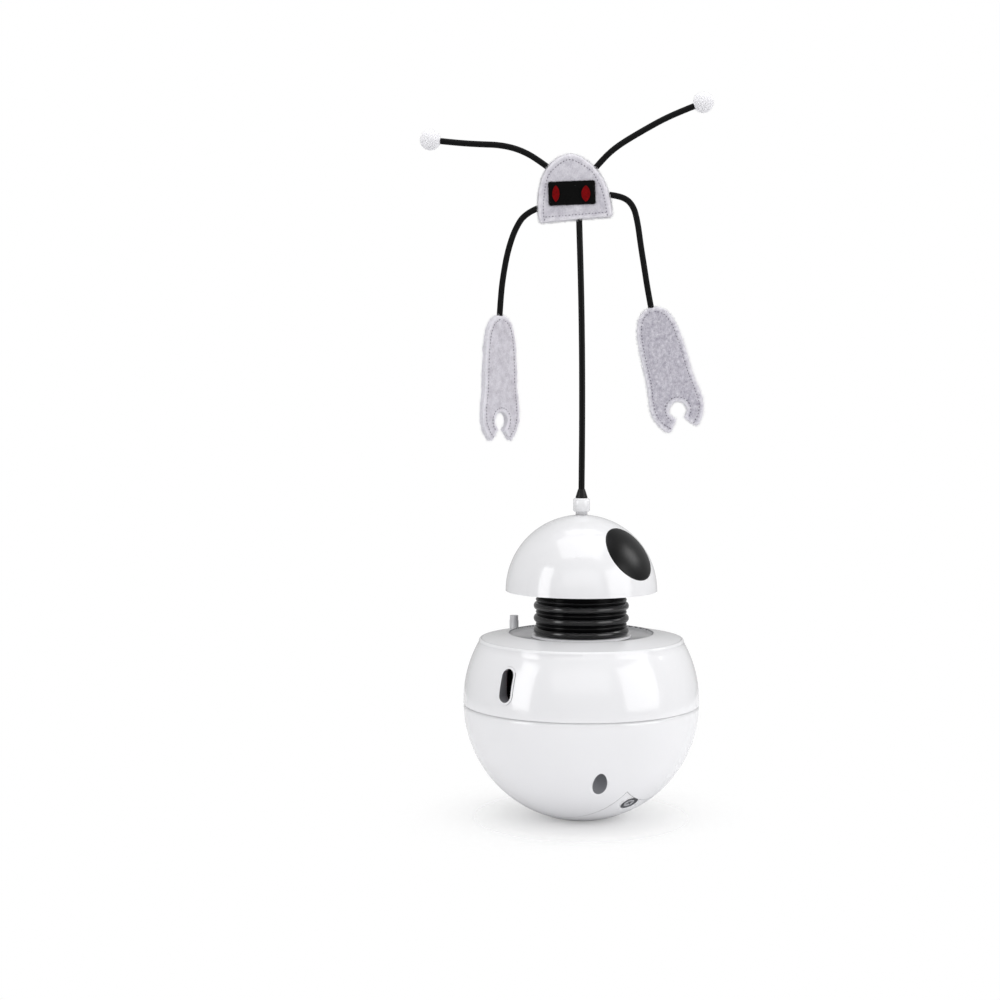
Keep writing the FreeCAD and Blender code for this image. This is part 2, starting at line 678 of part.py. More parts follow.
def upper_shell():
    """Upper shell with the ledge for the deck, screw bosses and the laser slot."""
    ledge_r = DECK_R - LEDGE_DEPTH
    under = LEDGE_Z - LEDGE_THICK
    under_r = math.sqrt(INNER_R ** 2 - (under - UP_C) ** 2)
    corner = (RIM_R - RIM_ROUND * 0.2, RIM_Z + DECK_RISE * 0.6)
    shell = turned((BODY_R, SEAM_Z), (BODY_R, UP_C), arc_between(on_sphere, BODY_R, UP_C, BODY_R, RIM_R),
                   (corner, (DECK_R + DECK_FIT, DECK_EDGE_Z)), (DECK_R + DECK_FIT, LEDGE_Z),
                   (ledge_r, LEDGE_Z), (ledge_r, under), (under_r, under),
                   arc_between(on_sphere, INNER_R, UP_C, under_r, INNER_R), (INNER_R, SEAM_Z))
    for at in shell_screw_places():
        top = SEAM_Z + UPPER_BOSS_LENGTH
        gap = SHELL_SCREW_GAP
        boss = cylinder(UPPER_BOSS_R, SEAM_Z + gap, top, at)
        outward = V(at.x, at.y, 0).normalize()
        angle = math.degrees(math.atan2(at.y, at.x))
        rib = Part.makeBox(INNER_R + WALL / 2 - SHELL_SCREW_R, WALL, top - SEAM_Z - LIP_HEIGHT - 1,
                           V(SHELL_SCREW_R, -WALL / 2, SEAM_Z + LIP_HEIGHT + 1))
        rib.rotate(V(0, 0, 0), UP, angle)
        inside = Part.makeSphere(BODY_R - WALL / 2, V(0, 0, UP_C))
        shell = shell.fuse(boss.fuse(rib).common(inside))
    for at in shell_screw_places():
        shell = shell.cut(cylinder(SCREW_R + SCREW_GRIP_FIT, SEAM_Z, SEAM_Z + UPPER_BOSS_LENGTH - WALL, at))
    return shell.cut(stadium(SLOT_WIDE / 2 + BEZEL_WALL + BEZEL_FIT, SLOT_HIGH / 2 + BEZEL_WALL + BEZEL_FIT,
                             INNER_R - 2 * BEZEL_DEPTH, BODY_R + 1))


def stadium(half_wide, half_high, r0, r1):
    """Upright stadium prism along the slot's direction between two distances."""
    straight = half_high - half_wide
    body = Part.makeBox(r1 - r0, 2 * half_wide, 2 * straight, V(r0, -half_wide, SLOT_Z - straight))
    for side in (-1, 1):
        foot = V(r0, 0, SLOT_Z + side * straight)
        body = body.fuse(Part.makeCylinder(half_wide, r1 - r0, foot, V(1, 0, 0)))
    body.rotate(V(0, 0, 0), UP, SLOT_ANGLE)
    return body.removeSplitter()


def slot_bezel():
    """White rim that lines the laser slot, a little proud of the shell."""
    outer = stadium(SLOT_WIDE / 2 + BEZEL_WALL, SLOT_HIGH / 2 + BEZEL_WALL, INNER_R - BEZEL_DEPTH, BODY_R + 1)
    outer = outer.common(Part.makeSphere(BODY_R + BEZEL_PROUD, V(0, 0, UP_C)))
    return outer.cut(stadium(SLOT_WIDE / 2, SLOT_HIGH / 2, INNER_R - 2 * BEZEL_DEPTH, BODY_R + 2))


def post_places():
    """Places of the posts that hang the chassis from the deck."""
    return [polar(POST_RADIUS, POST_FIRST + 360 * i / POSTS) for i in range(POSTS)]


def deck_cover():
    """Deck with the ridge ring, the dish, the spindle hub, posts and the button hole."""
    edge_under = (DECK_R, LEDGE_Z)
    hub_r = SPINDLE_R + SPINDLE_FIT + BUSH_WALL
    rise = (RIDGE_R - RIDGE_LIP * 1.2, DISH_Z + DISH_DEPTH * 0.45)
    crest = (RIDGE_R - RIDGE_LIP / 2, RIDGE_Z)
    deck = turned((hub_r, DISH_Z), (RIDGE_R - 2 * RIDGE_LIP, DISH_Z), (rise, crest),
                  (RIDGE_R, RIDGE_Z - 0.05), (DECK_R, DECK_EDGE_Z), edge_under,
                  (DECK_R - LEDGE_DEPTH, LEDGE_Z), (DECK_R - LEDGE_DEPTH - WALL, DECK_UNDER_Z + 1.0),
                  (RIDGE_R, DECK_UNDER_Z), (hub_r + WALL, DECK_UNDER_Z),
                  (hub_r + WALL, DECK_UNDER_Z - HUB_DROP), (hub_r, DECK_UNDER_Z - HUB_DROP))
    for at in post_places():
        deck = deck.fuse(cylinder(POST_R, PLATE_TOP_Z, DECK_UNDER_Z + WALL / 2, at))
        pilot_top = CHASSIS_Z + POST_SCREW + POST_SCREW_SPARE
        deck = deck.cut(cylinder(SMALL_SCREW_R, PLATE_TOP_Z - 1, pilot_top, at))
    deck = deck.fuse(cylinder(AXLE_R + WALL, AXLE_TOP_Z - AXLE_GRIP, DECK_UNDER_Z + WALL / 2, IDLER_AT))
    deck = deck.cut(cylinder(AXLE_R + SCREW_GRIP_FIT, AXLE_TOP_Z - AXLE_GRIP - 1, AXLE_TOP_Z + 0.2, IDLER_AT))
    place = BUTTON_PLACE
    return deck.cut(cylinder(BUTTON_R + BUTTON_FIT, DECK_UNDER_Z - 1, RIDGE_Z + 5, place))


def shell_screws():
    """Long screws up through the wells into the upper shell."""
    length = SEAM_Z + SHELL_SCREW_GRIP - WELL_TOP_Z
    return Part.Compound([screw(length, V(at.x, at.y, WELL_TOP_Z), SCREW_R, SCREW_HEAD_R, SCREW_HEAD_H)
                          for at in shell_screw_places()])


def door_screw():
    """Door screw, square to the ball's surface."""
    surface, inward = door_screw_line()
    seat = surface + inward * (DOOR_RECESS_DEPTH - DOOR_SEAT)
    return screw(DOOR_SCREW_LENGTH, seat, SCREW_R, SCREW_HEAD_R, DOOR_HEAD_H, inward)


def drive_chassis():
    """Plate under the gears with the lower bearing hole and the laser's cheeks' seat."""
    plate = cylinder(CHASSIS_R, CHASSIS_Z, PLATE_TOP_Z)
    plate = plate.cut(cylinder(SPINDLE_R + SPINDLE_FIT + BUSH_WALL, CHASSIS_Z - 1, PLATE_TOP_Z + 1))
    plate = plate.cut(cylinder(AXLE_R, CHASSIS_Z - 1, PLATE_TOP_Z + 1, IDLER_AT))
    plate = plate.cut(cylinder(MOTOR_NOSE_R + SCREW_FIT, CHASSIS_Z - 1, PLATE_TOP_Z + 1, PINION_AT))
    for at in post_places():
        plate = plate.cut(cylinder(SMALL_SCREW_R + SCREW_FIT, CHASSIS_Z - 1, PLATE_TOP_Z + 1, at))
    for at in motor_screw_places():
        plate = plate.cut(cylinder(SMALL_SCREW_R + SCREW_FIT, CHASSIS_Z - 1, PLATE_TOP_Z + 1, at))
    return plate


def motor_screw_places():
    """Places of the two screws that hold the motor."""
    return [PINION_AT + polar(MOTOR_SCREW_R, MOTOR_SCREW_FIRST + 180 * i) for i in range(2)]


def drive_motor():
    """Round can motor under the plate."""
    top = CHASSIS_Z
    can = cylinder(MOTOR_R, top - MOTOR_LENGTH, top, PINION_AT)
    can = can.makeChamfer(0.8, [e for e in can.Edges if e.Curve.TypeId == "Part::GeomCircle"])
    can = can.fuse(cylinder(MOTOR_NOSE_R, top - 1, top + MOTOR_NOSE_H, PINION_AT))
    can = can.cut(cylinder(MOTOR_SHAFT_R + SCREW_GRIP_FIT, top - MOTOR_LENGTH / 2, top + 5, PINION_AT))
    for at in motor_screw_places():
        pilot_low = PLATE_TOP_Z - MOTOR_SCREW_LENGTH - MOTOR_SCREW_SPARE
        can = can.cut(cylinder(SMALL_SCREW_R, pilot_low, top + 1, at))
    return can


def motor_shaft():
    """Steel shaft of the motor."""
    top = PLATE_TOP_Z + FAST_LIFT + FAST_FACE + MOTOR_SHAFT_PROUD
    return cylinder(MOTOR_SHAFT_R, CHASSIS_Z - MOTOR_LENGTH / 2 + 1, top, PINION_AT)


def motor_pinion():
    """Small pinion on the motor shaft, one gap facing the idler."""
    low = PLATE_TOP_Z + FAST_LIFT - 0.2
    pinion = gear(MODULE_FAST, PINION_TEETH, 1.0, low, low + FAST_FACE + 0.4,
                  PINION_ANGLE + 180 + 180 / PINION_TEETH)
    pinion.translate(PINION_AT)
    return pinion.cut(cylinder(MOTOR_SHAFT_R, low - 1, low + 10, PINION_AT))


def idler_gear():
    """Wheel and small gear in one, on the fixed axle."""
    low = PLATE_TOP_Z + FAST_LIFT
    wheel = gear(MODULE_FAST, WHEEL_TEETH, 0.6, low, low + FAST_FACE, PINION_ANGLE)
    small_top = PLATE_TOP_Z + SLOW_LIFT + SLOW_FACE + 0.4
    small = gear(MODULE_SLOW, SMALL_TEETH, 1.0, low + FAST_FACE - 0.2, small_top,
                 IDLER_ANGLE + 180 + 180 / SMALL_TEETH)
    both = wheel.fuse(small)
    both.translate(IDLER_AT)
    return both.cut(cylinder(AXLE_R + SPINDLE_FIT, low - 1, low + 20, IDLER_AT))


def output_gear():
    """Large gear fixed on the spindle, one tooth facing the idler."""
    low = PLATE_TOP_Z + SLOW_LIFT
    wheel = gear(MODULE_SLOW, OUTPUT_TEETH, 0.7, low, low + SLOW_FACE, IDLER_ANGLE)
    hub_top = low + SLOW_FACE + GEAR_HUB_RISE
    wheel = wheel.fuse(cylinder(SPINDLE_R + GEAR_HUB_WALL, low - GEAR_HUB_DROP, hub_top))
    web = tube(OUTPUT_PITCH_R - GEAR_RIM, SPINDLE_R + 2 * GEAR_HUB_WALL, low + SLOW_FACE - GEAR_WEB_SINK,
               low + SLOW_FACE + 1)
    return wheel.cut(web).cut(cylinder(SPINDLE_R, low - 5, low + 10))


def spindle():
    """Steel spindle from the plate up to the turntable, grooved for its clip."""
    shaft = cylinder(SPINDLE_R, SPINDLE_LOW_Z, NECK_Z + SPINDLE_STAND)
    groove = tube(SPINDLE_R + 1, SPINDLE_R - CLIP_DEPTH, CLIP_Z, CLIP_Z + CLIP_THICK)
    top = NECK_Z + SPINDLE_STAND
    hole = cylinder(SMALL_SCREW_R, top - SPINDLE_SCREW_LENGTH - SPINDLE_SCREW_SPARE, top + 1)
    return shaft.cut(groove).cut(hole)


def spindle_clip():
    """Open ring in the spindle's groove."""
    ring = tube(SPINDLE_R + CLIP_RIM, SPINDLE_R - CLIP_DEPTH, CLIP_Z, CLIP_Z + CLIP_THICK)
    return ring.cut(Part.makeBox(2 * SPINDLE_R + CLIP_RIM, CLIP_GAP, CLIP_THICK, V(0, -CLIP_GAP / 2, CLIP_Z)))


def bush(z0, z1, flange_z):
    """Flanged bronze bush for the spindle."""
    outer = cylinder(SPINDLE_R + SPINDLE_FIT + BUSH_WALL, z0, z1)
    outer = outer.fuse(cylinder(SPINDLE_R + BUSH_WALL + BUSH_RIM, flange_z, flange_z + BUSH_FLANGE))
    return outer.cut(cylinder(SPINDLE_R + SPINDLE_FIT, z0 - 5, z1 + 5))


def idler_axle():
    """Fixed pin of the idler, between the plate and the deck."""
    return cylinder(AXLE_R, CHASSIS_Z, AXLE_TOP_Z, IDLER_AT)


def turntable():
    """Disc on the spindle with the boss that the rubber neck grips."""
    boss_r = NECK_BORE_R - NECK_CUFF_FIT
    table = cylinder(TURNTABLE_R, TABLE_Z, NECK_Z)
    table = table.fuse(tube(boss_r, boss_r - WALL, NECK_Z - 0.5, NECK_Z + NECK_CUFF))
    table = table.fuse(cylinder(SPINDLE_R + WALL, NECK_Z - 0.5, NECK_Z + SPINDLE_STAND))
    return table.cut(cylinder(SPINDLE_R, TABLE_Z - 1, NECK_Z + SPINDLE_STAND + 1))


def turntable_screw():
    """Screw and washer head that hold the turntable on the spindle."""
    return screw(SPINDLE_SCREW_LENGTH, V(0, 0, NECK_Z + SPINDLE_STAND), SMALL_SCREW_R - SCREW_GRIP_FIT,
                 SPINDLE_SCREW_HEAD_R, SMALL_HEAD_H, V(0, 0, -1))


def neck_bellows():
    """Ribbed rubber neck: main ribs at one pitch with a small rib between each pair."""
    steps = [(NECK_ROOT_R, NECK_Z)]
    for k in range(NECK_RIBS):
        z = NECK_Z + NECK_FIRST_RIB + k * NECK_PITCH
        half = NECK_RIB_HALF
        steps.append((NECK_ROOT_R, z - half))
        steps.append(((NECK_RIB_R, z), (NECK_ROOT_R, z + half)))
        middle = z + NECK_PITCH / 2
        steps.append((NECK_ROOT_R, middle - NECK_SMALL_HALF))
        steps.append(((NECK_ROOT_R + NECK_SMALL_RISE, middle), (NECK_ROOT_R, middle + NECK_SMALL_HALF)))
    steps.append((NECK_ROOT_R, NECK_TOP_Z))
    steps.append((NECK_BORE_R, NECK_TOP_Z))
    return turned((NECK_BORE_R, NECK_Z), *steps)


def head_base():
    """Plate that closes the head, with the boss that the rubber neck grips."""
    boss_r = NECK_BORE_R - NECK_CUFF_FIT
    plate = cylinder(HEAD_R - HEAD_WALL - HEAD_FIT, NECK_TOP_Z, NECK_TOP_Z + HEAD_BASE_THICK)
    plate = plate.fuse(tube(boss_r, boss_r - WALL, NECK_TOP_Z - NECK_CUFF, NECK_TOP_Z + 0.5))
    for at in head_screw_places():
        top = NECK_TOP_Z + HEAD_BASE_THICK + 1
        plate = plate.cut(cylinder(SMALL_SCREW_R + SCREW_FIT, NECK_TOP_Z - 1, top, at))
    return plate


def head_screw_places():
    """Places of the screws that hold the dome on its plate."""
    return [polar(HEAD_SCREW_R, EYE_AZIMUTH + HEAD_SCREW_FROM_EYE + 360 * i / HEAD_SCREWS)
            for i in range(HEAD_SCREWS)]


def eye_direction():
    """Direction of the eye from the head's centre."""
    e = math.radians(EYE_ELEVATION)
    return polar(math.cos(e), EYE_AZIMUTH, math.sin(e))


def head_dome():
    """Half ball head with screw bosses, the eye opening and the hole for the wand socket."""
    inner = HEAD_R - HEAD_WALL
    seat_z = NECK_TOP_Z + HEAD_BASE_THICK
    seat_r = math.sqrt(inner ** 2 - (seat_z - HEAD_Z) ** 2)
    dome = turned((HEAD_R, HEAD_Z), arc_between(on_sphere, HEAD_R, HEAD_Z, HEAD_R, 0),
                  (0, HEAD_Z + inner), arc_between(on_sphere, inner, HEAD_Z, 0, seat_r),
                  (inner, seat_z - 0.3), (inner, HEAD_Z))
    ball = Part.makeSphere(HEAD_R - HEAD_WALL / 2, V(0, 0, HEAD_Z))
    for at in head_screw_places():
        dome = dome.fuse(cylinder(HEAD_BOSS_R, seat_z, HEAD_Z + HEAD_R, at).common(ball))
    for at in head_screw_places():
        pilot_top = NECK_TOP_Z + HEAD_SCREW_LENGTH + HEAD_SCREW_SPARE
        dome = dome.cut(cylinder(SMALL_SCREW_R, seat_z - 1, pilot_top, at))
    centre = V(0, 0, HEAD_Z)
    dome = dome.cut(Part.makeCylinder(EYE_R + EYE_FIT, HEAD_R + 5, centre, eye_direction()))
    return dome.cut(cylinder(COLLAR_STEM_R + SCREW_FIT, HEAD_Z + 20, HEAD_Z + HEAD_R + 1))


def eye_lens():
    """Glossy lens flush with the dome, with a thin flange behind it."""
    centre = V(0, 0, HEAD_Z)
    way = eye_direction()
    inner = HEAD_R - HEAD_WALL
    plug = Part.makeSphere(HEAD_R, centre).common(Part.makeCylinder(EYE_R, HEAD_R + 5, centre, way))
    plug = plug.cut(Part.makeSphere(inner - EYE_FLANGE_THICK, centre))
    flange = Part.makeSphere(inner - EYE_FIT, centre).cut(Part.makeSphere(inner - EYE_FLANGE_THICK, centre))
    flange = flange.common(Part.makeCylinder(EYE_R + EYE_FLANGE, HEAD_R, centre, way))
    return plug.fuse(flange).removeSplitter()


def wand_collar():
    """White socket on top of the head, on a narrow stem."""
    stem_low = COLLAR_Z - COLLAR_STEM_H - COLLAR_STEM_DEPTH
    collar = turned((0, stem_low), (COLLAR_STEM_R, stem_low), (COLLAR_STEM_R, COLLAR_Z),
                    (COLLAR_R - 0.4, COLLAR_Z), (COLLAR_R, COLLAR_Z + 0.4), (COLLAR_R, COLLAR_TOP_Z - 0.6),
                    (COLLAR_R - 0.6, COLLAR_TOP_Z), (0, COLLAR_TOP_Z))
    return collar.cut(cylinder(COLLAR_BORE_R, COLLAR_TOP_Z - PLUG_DEPTH - 0.5, COLLAR_TOP_Z + 1))


def collar_nut():
    """Hexagon nut that holds the socket from inside the head."""
    top = HEAD_Z + math.sqrt((HEAD_R - HEAD_WALL) ** 2 - NUT_R ** 2) - 0.05
    corners = [polar(NUT_R, 60 * i, top - NUT_H) for i in range(7)]
    nut = Part.Face(Part.makePolygon(corners)).extrude(V(0, 0, NUT_H))
    return nut.cut(cylinder(COLLAR_STEM_R, top - NUT_H - 1, top + 1))


def wand_plug():
    """Black plug of the wand with its tapered end."""
    low = COLLAR_TOP_Z - PLUG_DEPTH
    base = COLLAR_TOP_Z + 0.05
    plug = turned((0, low), (PLUG_R - 0.3, low), (PLUG_R, low + 0.3), (PLUG_R, base), (FERRULE_R, base),
                  (FERRULE_R, base + 0.5), (FERRULE_TIP_R, FERRULE_TOP_Z), (0, FERRULE_TOP_Z))
    return plug.cut(cylinder(WAND_R + WAND_FIT, FERRULE_TOP_Z - WAND_IN_PLUG, FERRULE_TOP_Z + 1))


def wand_points():
    """Route of the spring wand from the plug into the felt."""
    low = FERRULE_TOP_Z - WAND_IN_PLUG + WAND_FIT
    x, z = WAND_ENTRY
    return [(0, 0, low), (0, 0, FERRULE_TOP_Z + 1)] + WAND_BEND + [(x - 0.3, 0, z + WAND_IN_FELT)]


def spline_outline(points, y):
    """Closed outline: a smooth curve through points in x and z, closed by a straight edge."""
    curve = Part.BSplineCurve()
    curve.interpolate([V(x, y, z) for x, z in points])
    return Part.Wire([curve.toShape(), Part.LineSegment(V(points[-1][0], y, points[-1][1]),
                                                        V(points[0][0], y, points[0][1])).toShape()])


def felt_head(side):
    """One felt layer of the robot's head; the wand lies in a groove between the layers."""
    layer = Part.Face(spline_outline(FELT_HEAD, 0)).extrude(V(0, side * FELT_THICK, 0))
    x, z = WAND_ENTRY
    groove = cylinder(WAND_R + PIN_FIT, z - 20, z + WAND_IN_FELT + 0.3, V(x, 0, 0))
    groove.rotate(V(x, 0, z), V(0, 1, 0), -1.7)
    return layer.cut(groove)


def band_plate(width, height, thick, front):
    """Upright rounded plate centred on the eye band."""
    plate = Part.makeBox(width, thick, height, V(-width / 2, front, -height / 2))
    plate = plate.makeFillet(EYE_BAND_CORNER, [e for e in plate.Edges if abs(e.Length - thick) < 1e-6])
    plate.rotate(V(0, 0, 0), V(0, 1, 0), -EYE_BAND_TURN)
    plate.translate(V(EYE_BAND[0], 0, EYE_BAND[1]))
    return plate


def eye_band():
    """Black felt band across the robot's face."""
    return band_plate(*EYE_BAND_SIZE, EYE_BAND_THICK, -FELT_THICK - EYE_BAND_THICK)


def red_eyes():
    """Two pointed oval eyes on the band."""
    front = -FELT_THICK - EYE_BAND_THICK
    eyes = []
    for x, z, wide, high in RED_EYES:
        low = V(x, front, z - high / 2)
        top = V(x, front, z + high / 2)
        left = Part.Arc(low, V(x - wide / 2, front, z), top).toShape()
        right = Part.Arc(top, V(x + wide / 2, front, z), low).toShape()
        eyes.append(Part.Face(Part.Wire([left, right])).extrude(V(0, -RED_EYE_THICK, 0)))
    return Part.Compound(eyes)


def claw(top, tilt, turn):
    """Felt claw hanging from a point, tilted in the picture plane and turned about its length."""
    down = [V(w, -CLAW_THICK / 2, -s) for s, w in CLAW_SIDE]
    right = Part.BSplineCurve()
    right.interpolate(down)
    left = Part.BSplineCurve()
    left.interpolate([V(-p.x, p.y, p.z) for p in reversed(down)])
    y = -CLAW_THICK / 2
    mouth_z = -CLAW_NOTCH_DOWN - math.sqrt(CLAW_NOTCH_R ** 2 - CLAW_MOUTH ** 2)
    mouth = V(CLAW_MOUTH, y, mouth_z)
    other = V(-CLAW_MOUTH, y, mouth_z)
    notch = Part.Arc(mouth, V(0, y, -CLAW_NOTCH_DOWN + CLAW_NOTCH_R), other).toShape()
    tip = down[-1]
    mirror = V(-tip.x, tip.y, tip.z)
    edges = [right.toShape(), Part.LineSegment(tip, mouth).toShape(), notch,
             Part.LineSegment(other, mirror).toShape(), left.toShape(),
             Part.LineSegment(V(-down[0].x, y, 0), down[0]).toShape()]
    body = Part.Face(Part.Wire(edges)).extrude(V(0, CLAW_THICK, 0))
    body.rotate(V(0, 0, 0), UP, turn)
    body.translate(V(0, 0, -CLAW_FIT))
    body.rotate(V(0, 0, 0), V(0, 1, 0), -tilt)
    body.translate(V(*top))
    return body


def pom(route):
    """Felt ball on the end of an antenna."""
    end = V(*route[-1])
    way = (end - V(*route[-2])).normalize()
    depth = math.sqrt(POM_R ** 2 - CORD_R ** 2)
    ball = Part.makeSphere(POM_R, end + way * depth)
    return ball.cut(Part.makeCylinder(CORD_R, depth, end - way * depth, way))


def laser_frame(shape):
    """Place a shape built along +X at the laser's pivot, dipped to the rest angle."""
    shape.rotate(V(0, 0, 0), V(0, 1, 0), LASER_DIP)
    shape.translate(V(LASER_PIVOT_R, 0, LASER_PIVOT_Z))
    shape.rotate(V(0, 0, 0), UP, SLOT_ANGLE)
    return shape


def along_x(radius, x0, x1):
    """Cylinder along +X between two distances."""
    return Part.makeCylinder(radius, x1 - x0, V(x0, 0, 0), V(1, 0, 0))


def laser_barrel():
    """Brass barrel of the laser."""
    half = LASER_LENGTH / 2
    barrel = along_x(LASER_R, -half, half).cut(along_x(LASER_LENS_R, half - LASER_LENS_THICK, half + 1))
    return laser_frame(barrel.cut(along_x(LASER_LENS_R - 0.8, half - 4, half)))


def laser_lens():
    """Clear lens in the mouth of the barrel."""
    half = LASER_LENGTH / 2
    return laser_frame(along_x(LASER_LENS_R, half - LASER_LENS_THICK, half))


def laser_cradle():
    """Clamp round the barrel with a pivot pin on each side."""
    half = CRADLE_LENGTH / 2
    outer = LASER_R + CRADLE_WALL
    ring = along_x(outer, -half, half)
    pin_end = outer + CHEEK_GAP + CRADLE_PIN_LENGTH
    ring = ring.fuse(Part.makeCylinder(CRADLE_PIN_R, 2 * pin_end, V(0, -pin_end, 0), V(0, 1, 0)))
    shoulder = outer + CHEEK_GAP / 2
    collar_r = CRADLE_PIN_R + CRADLE_SHOULDER
    ring = ring.fuse(Part.makeCylinder(collar_r, 2 * shoulder, V(0, -shoulder, 0), V(0, 1, 0)))
    return laser_frame(ring.cut(along_x(LASER_R, -LASER_LENGTH, LASER_LENGTH)))


def laser_bracket():
    """Two cheeks on a foot that carry the cradle's pins."""
    outer = LASER_R + CRADLE_WALL
    inside = outer + CHEEK_GAP
    x0 = LASER_PIVOT_R - CHEEK_WIDE / 2
    foot = Part.makeBox(CHEEK_WIDE, 2 * (inside + CHEEK_THICK), CHEEK_THICK,
                        V(x0, -inside - CHEEK_THICK, PLATE_TOP_Z))
    bracket = foot
    height = LASER_PIVOT_Z - PLATE_TOP_Z
    for side in (-1, 1):
        y = inside if side > 0 else -inside - CHEEK_THICK
        bracket = bracket.fuse(Part.makeBox(CHEEK_WIDE, CHEEK_THICK, height, V(x0, y, PLATE_TOP_Z)))
        pivot = V(LASER_PIVOT_R, y, LASER_PIVOT_Z)
        bracket = bracket.fuse(Part.makeCylinder(CHEEK_WIDE / 2, CHEEK_THICK, pivot, V(0, 1, 0)))
    reach = inside + 2 * CHEEK_THICK
    start = V(LASER_PIVOT_R, -reach, LASER_PIVOT_Z)
    bore = Part.makeCylinder(CRADLE_PIN_R + PIN_FIT, 2 * reach, start, V(0, 1, 0))
    bracket = bracket.cut(bore)
    bracket.rotate(V(0, 0, 0), UP, SLOT_ANGLE)
    return bracket.removeSplitter()


def button_levels():
    """Heights of the button: flange foot, flange top, step and top."""
    r = BUTTON_PLACE.Length
    deck_z = RIDGE_Z - (r - RIDGE_R) * RIDGE_RISE / (DECK_R - RIDGE_R)
    flange_top = DECK_UNDER_Z - BUTTON_FIT
    top = deck_z + BUTTON_HEIGHT
    return flange_top - BUTTON_FLANGE_H, flange_top, top - BUTTON_STEP, top


def power_button():
    """Round push button with a flange under the deck and a stem over the switch."""
    foot, flange, step, top = button_levels()
    place = BUTTON_PLACE
    button = cylinder(BUTTON_R, flange - 0.2, step, place)
    button = button.fuse(cylinder(BUTTON_TOP_R, step - 0.2, top, place))
    button = button.fuse(cylinder(BUTTON_FLANGE_R, foot, flange, place))
    return button.fuse(cylinder(BUTTON_STEM_R, switch_top() + BUTTON_TRAVEL + 0.2, foot + 0.2, place))


def switch_top():
    """Height of the top of the switch."""
    return PLATE_TOP_Z + SWITCH_H


def power_switch():
    """Push switch on the chassis plate."""
    half = SWITCH_SIDE / 2
    corner = BUTTON_PLACE + V(-half, -half, PLATE_TOP_Z)
    return Part.makeBox(SWITCH_SIDE, SWITCH_SIDE, SWITCH_H, corner)


def button_spring():
    """Return spring between the switch and the button's flange."""
    foot = button_levels()[0]
    coil = helix(SPRING_R, SPRING_WIRE_R, foot - switch_top() - 0.05, SPRING_TURNS)
    coil.translate(BUTTON_PLACE + V(0, 0, switch_top()))
    return coil


PARTS = {
    "lower_shell": lower_shell,
    "upper_shell": upper_shell,
    "deck_cover": deck_cover,
    "slot_bezel": slot_bezel,
    "shell_screws": shell_screws,
    "battery_door": battery_door,
    "door_screw": door_screw,
    "battery_box": battery_box,
    "batteries": lambda: Part.Compound([cell(-1, 1), cell(0, -1), cell(1, 1)]),
    "contact_plates": contact_plates,
    "contact_springs": contact_springs,
    "ballast_front": lambda: ballast(-1),
    "ballast_rear": lambda: ballast(1),
    "control_board": control_board,
    "board_components": board_components,
    "board_screws": lambda: small_screws(board_post_places(), BOARD_Z + BOARD_THICK, BOARD_SCREW_LENGTH),
    "drive_chassis": drive_chassis,
    "chassis_screws": lambda: small_screws(post_places(), CHASSIS_Z, POST_SCREW, False),
    "drive_motor": drive_motor,
    "motor_screws": lambda: small_screws(motor_screw_places(), PLATE_TOP_Z, MOTOR_SCREW_LENGTH),
    "motor_shaft": motor_shaft,
    "motor_pinion": motor_pinion,
    "idler_gear": idler_gear,
    "idler_axle": idler_axle,
    "output_gear": output_gear,
    "spindle": spindle,
    "spindle_clip": spindle_clip,
    "upper_bush": lambda: bush(DECK_UNDER_Z - BUSH_LENGTH, DISH_Z, DECK_UNDER_Z - HUB_DROP - BUSH_FLANGE),
    "lower_bush": lambda: bush(CHASSIS_Z, PLATE_TOP_Z, CHASSIS_Z - BUSH_FLANGE),
    "turntable": turntable,
    "turntable_screw": turntable_screw,
    "neck_bellows": neck_bellows,
    "head_base": head_base,
    "head_dome": head_dome,
    "head_screws": lambda: small_screws(head_screw_places(), NECK_TOP_Z, HEAD_SCREW_LENGTH, False),
    "eye_lens": eye_lens,
    "wand_collar": wand_collar,
    "collar_nut": collar_nut,
    "wand_plug": wand_plug,
    "wand_rod": lambda: cord("wand_rod", wand_points(), WAND_R),
    "felt_head_front": lambda: felt_head(-1),
    "felt_head_back": lambda: felt_head(1),
    "eye_band": eye_band,
    "red_eyes": red_eyes,
    "antenna_left": lambda: cord("antenna_left", ANTENNA_LEFT, CORD_R),
    "antenna_right": lambda: cord("antenna_right", ANTENNA_RIGHT, CORD_R),
    "pom_left": lambda: pom(ANTENNA_LEFT),
    "pom_right": lambda: pom(ANTENNA_RIGHT),
    "arm_cord_left": lambda: cord("arm_cord_left", ARM_LEFT, CORD_R),
    "arm_cord_right": lambda: cord("arm_cord_right", ARM_RIGHT, CORD_R),
    "claw_left": lambda: claw(ARM_LEFT[-1], CLAW_LEFT_TILT, CLAW_LEFT_TURN),
    "claw_right": lambda: claw(ARM_RIGHT[-1], CLAW_RIGHT_TILT, CLAW_RIGHT_TURN),
    "laser_barrel": laser_barrel,
    "laser_lens": laser_lens,
    "laser_cradle": laser_cradle,
    "laser_bracket": laser_bracket,
    "power_button": power_button,
    "power_switch": power_switch,
    "button_spring": button_spring,
}
os.makedirs("parts", exist_ok=True)
for name, make in PARTS.items():
    shape = make()
    if not shape.isValid():
        print("invalid:", name)
    for solid in shape.Solids:
        if solid.Volume <= 0:
            print("inside out:", name)
    if len(shape.Solids) == 1:
        shape = shape.Solids[0]
    shape.exportStep(f"parts/{name}.step")
print(len(PARTS), "parts")
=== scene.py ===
"""Looks of an automatic cat laser toy: glossy round body, rubber neck, domed head and felt robot."""
import json
import logging
import math
from dataclasses import dataclass, field
from enum import Enum
from functools import partial
from typing import Callable

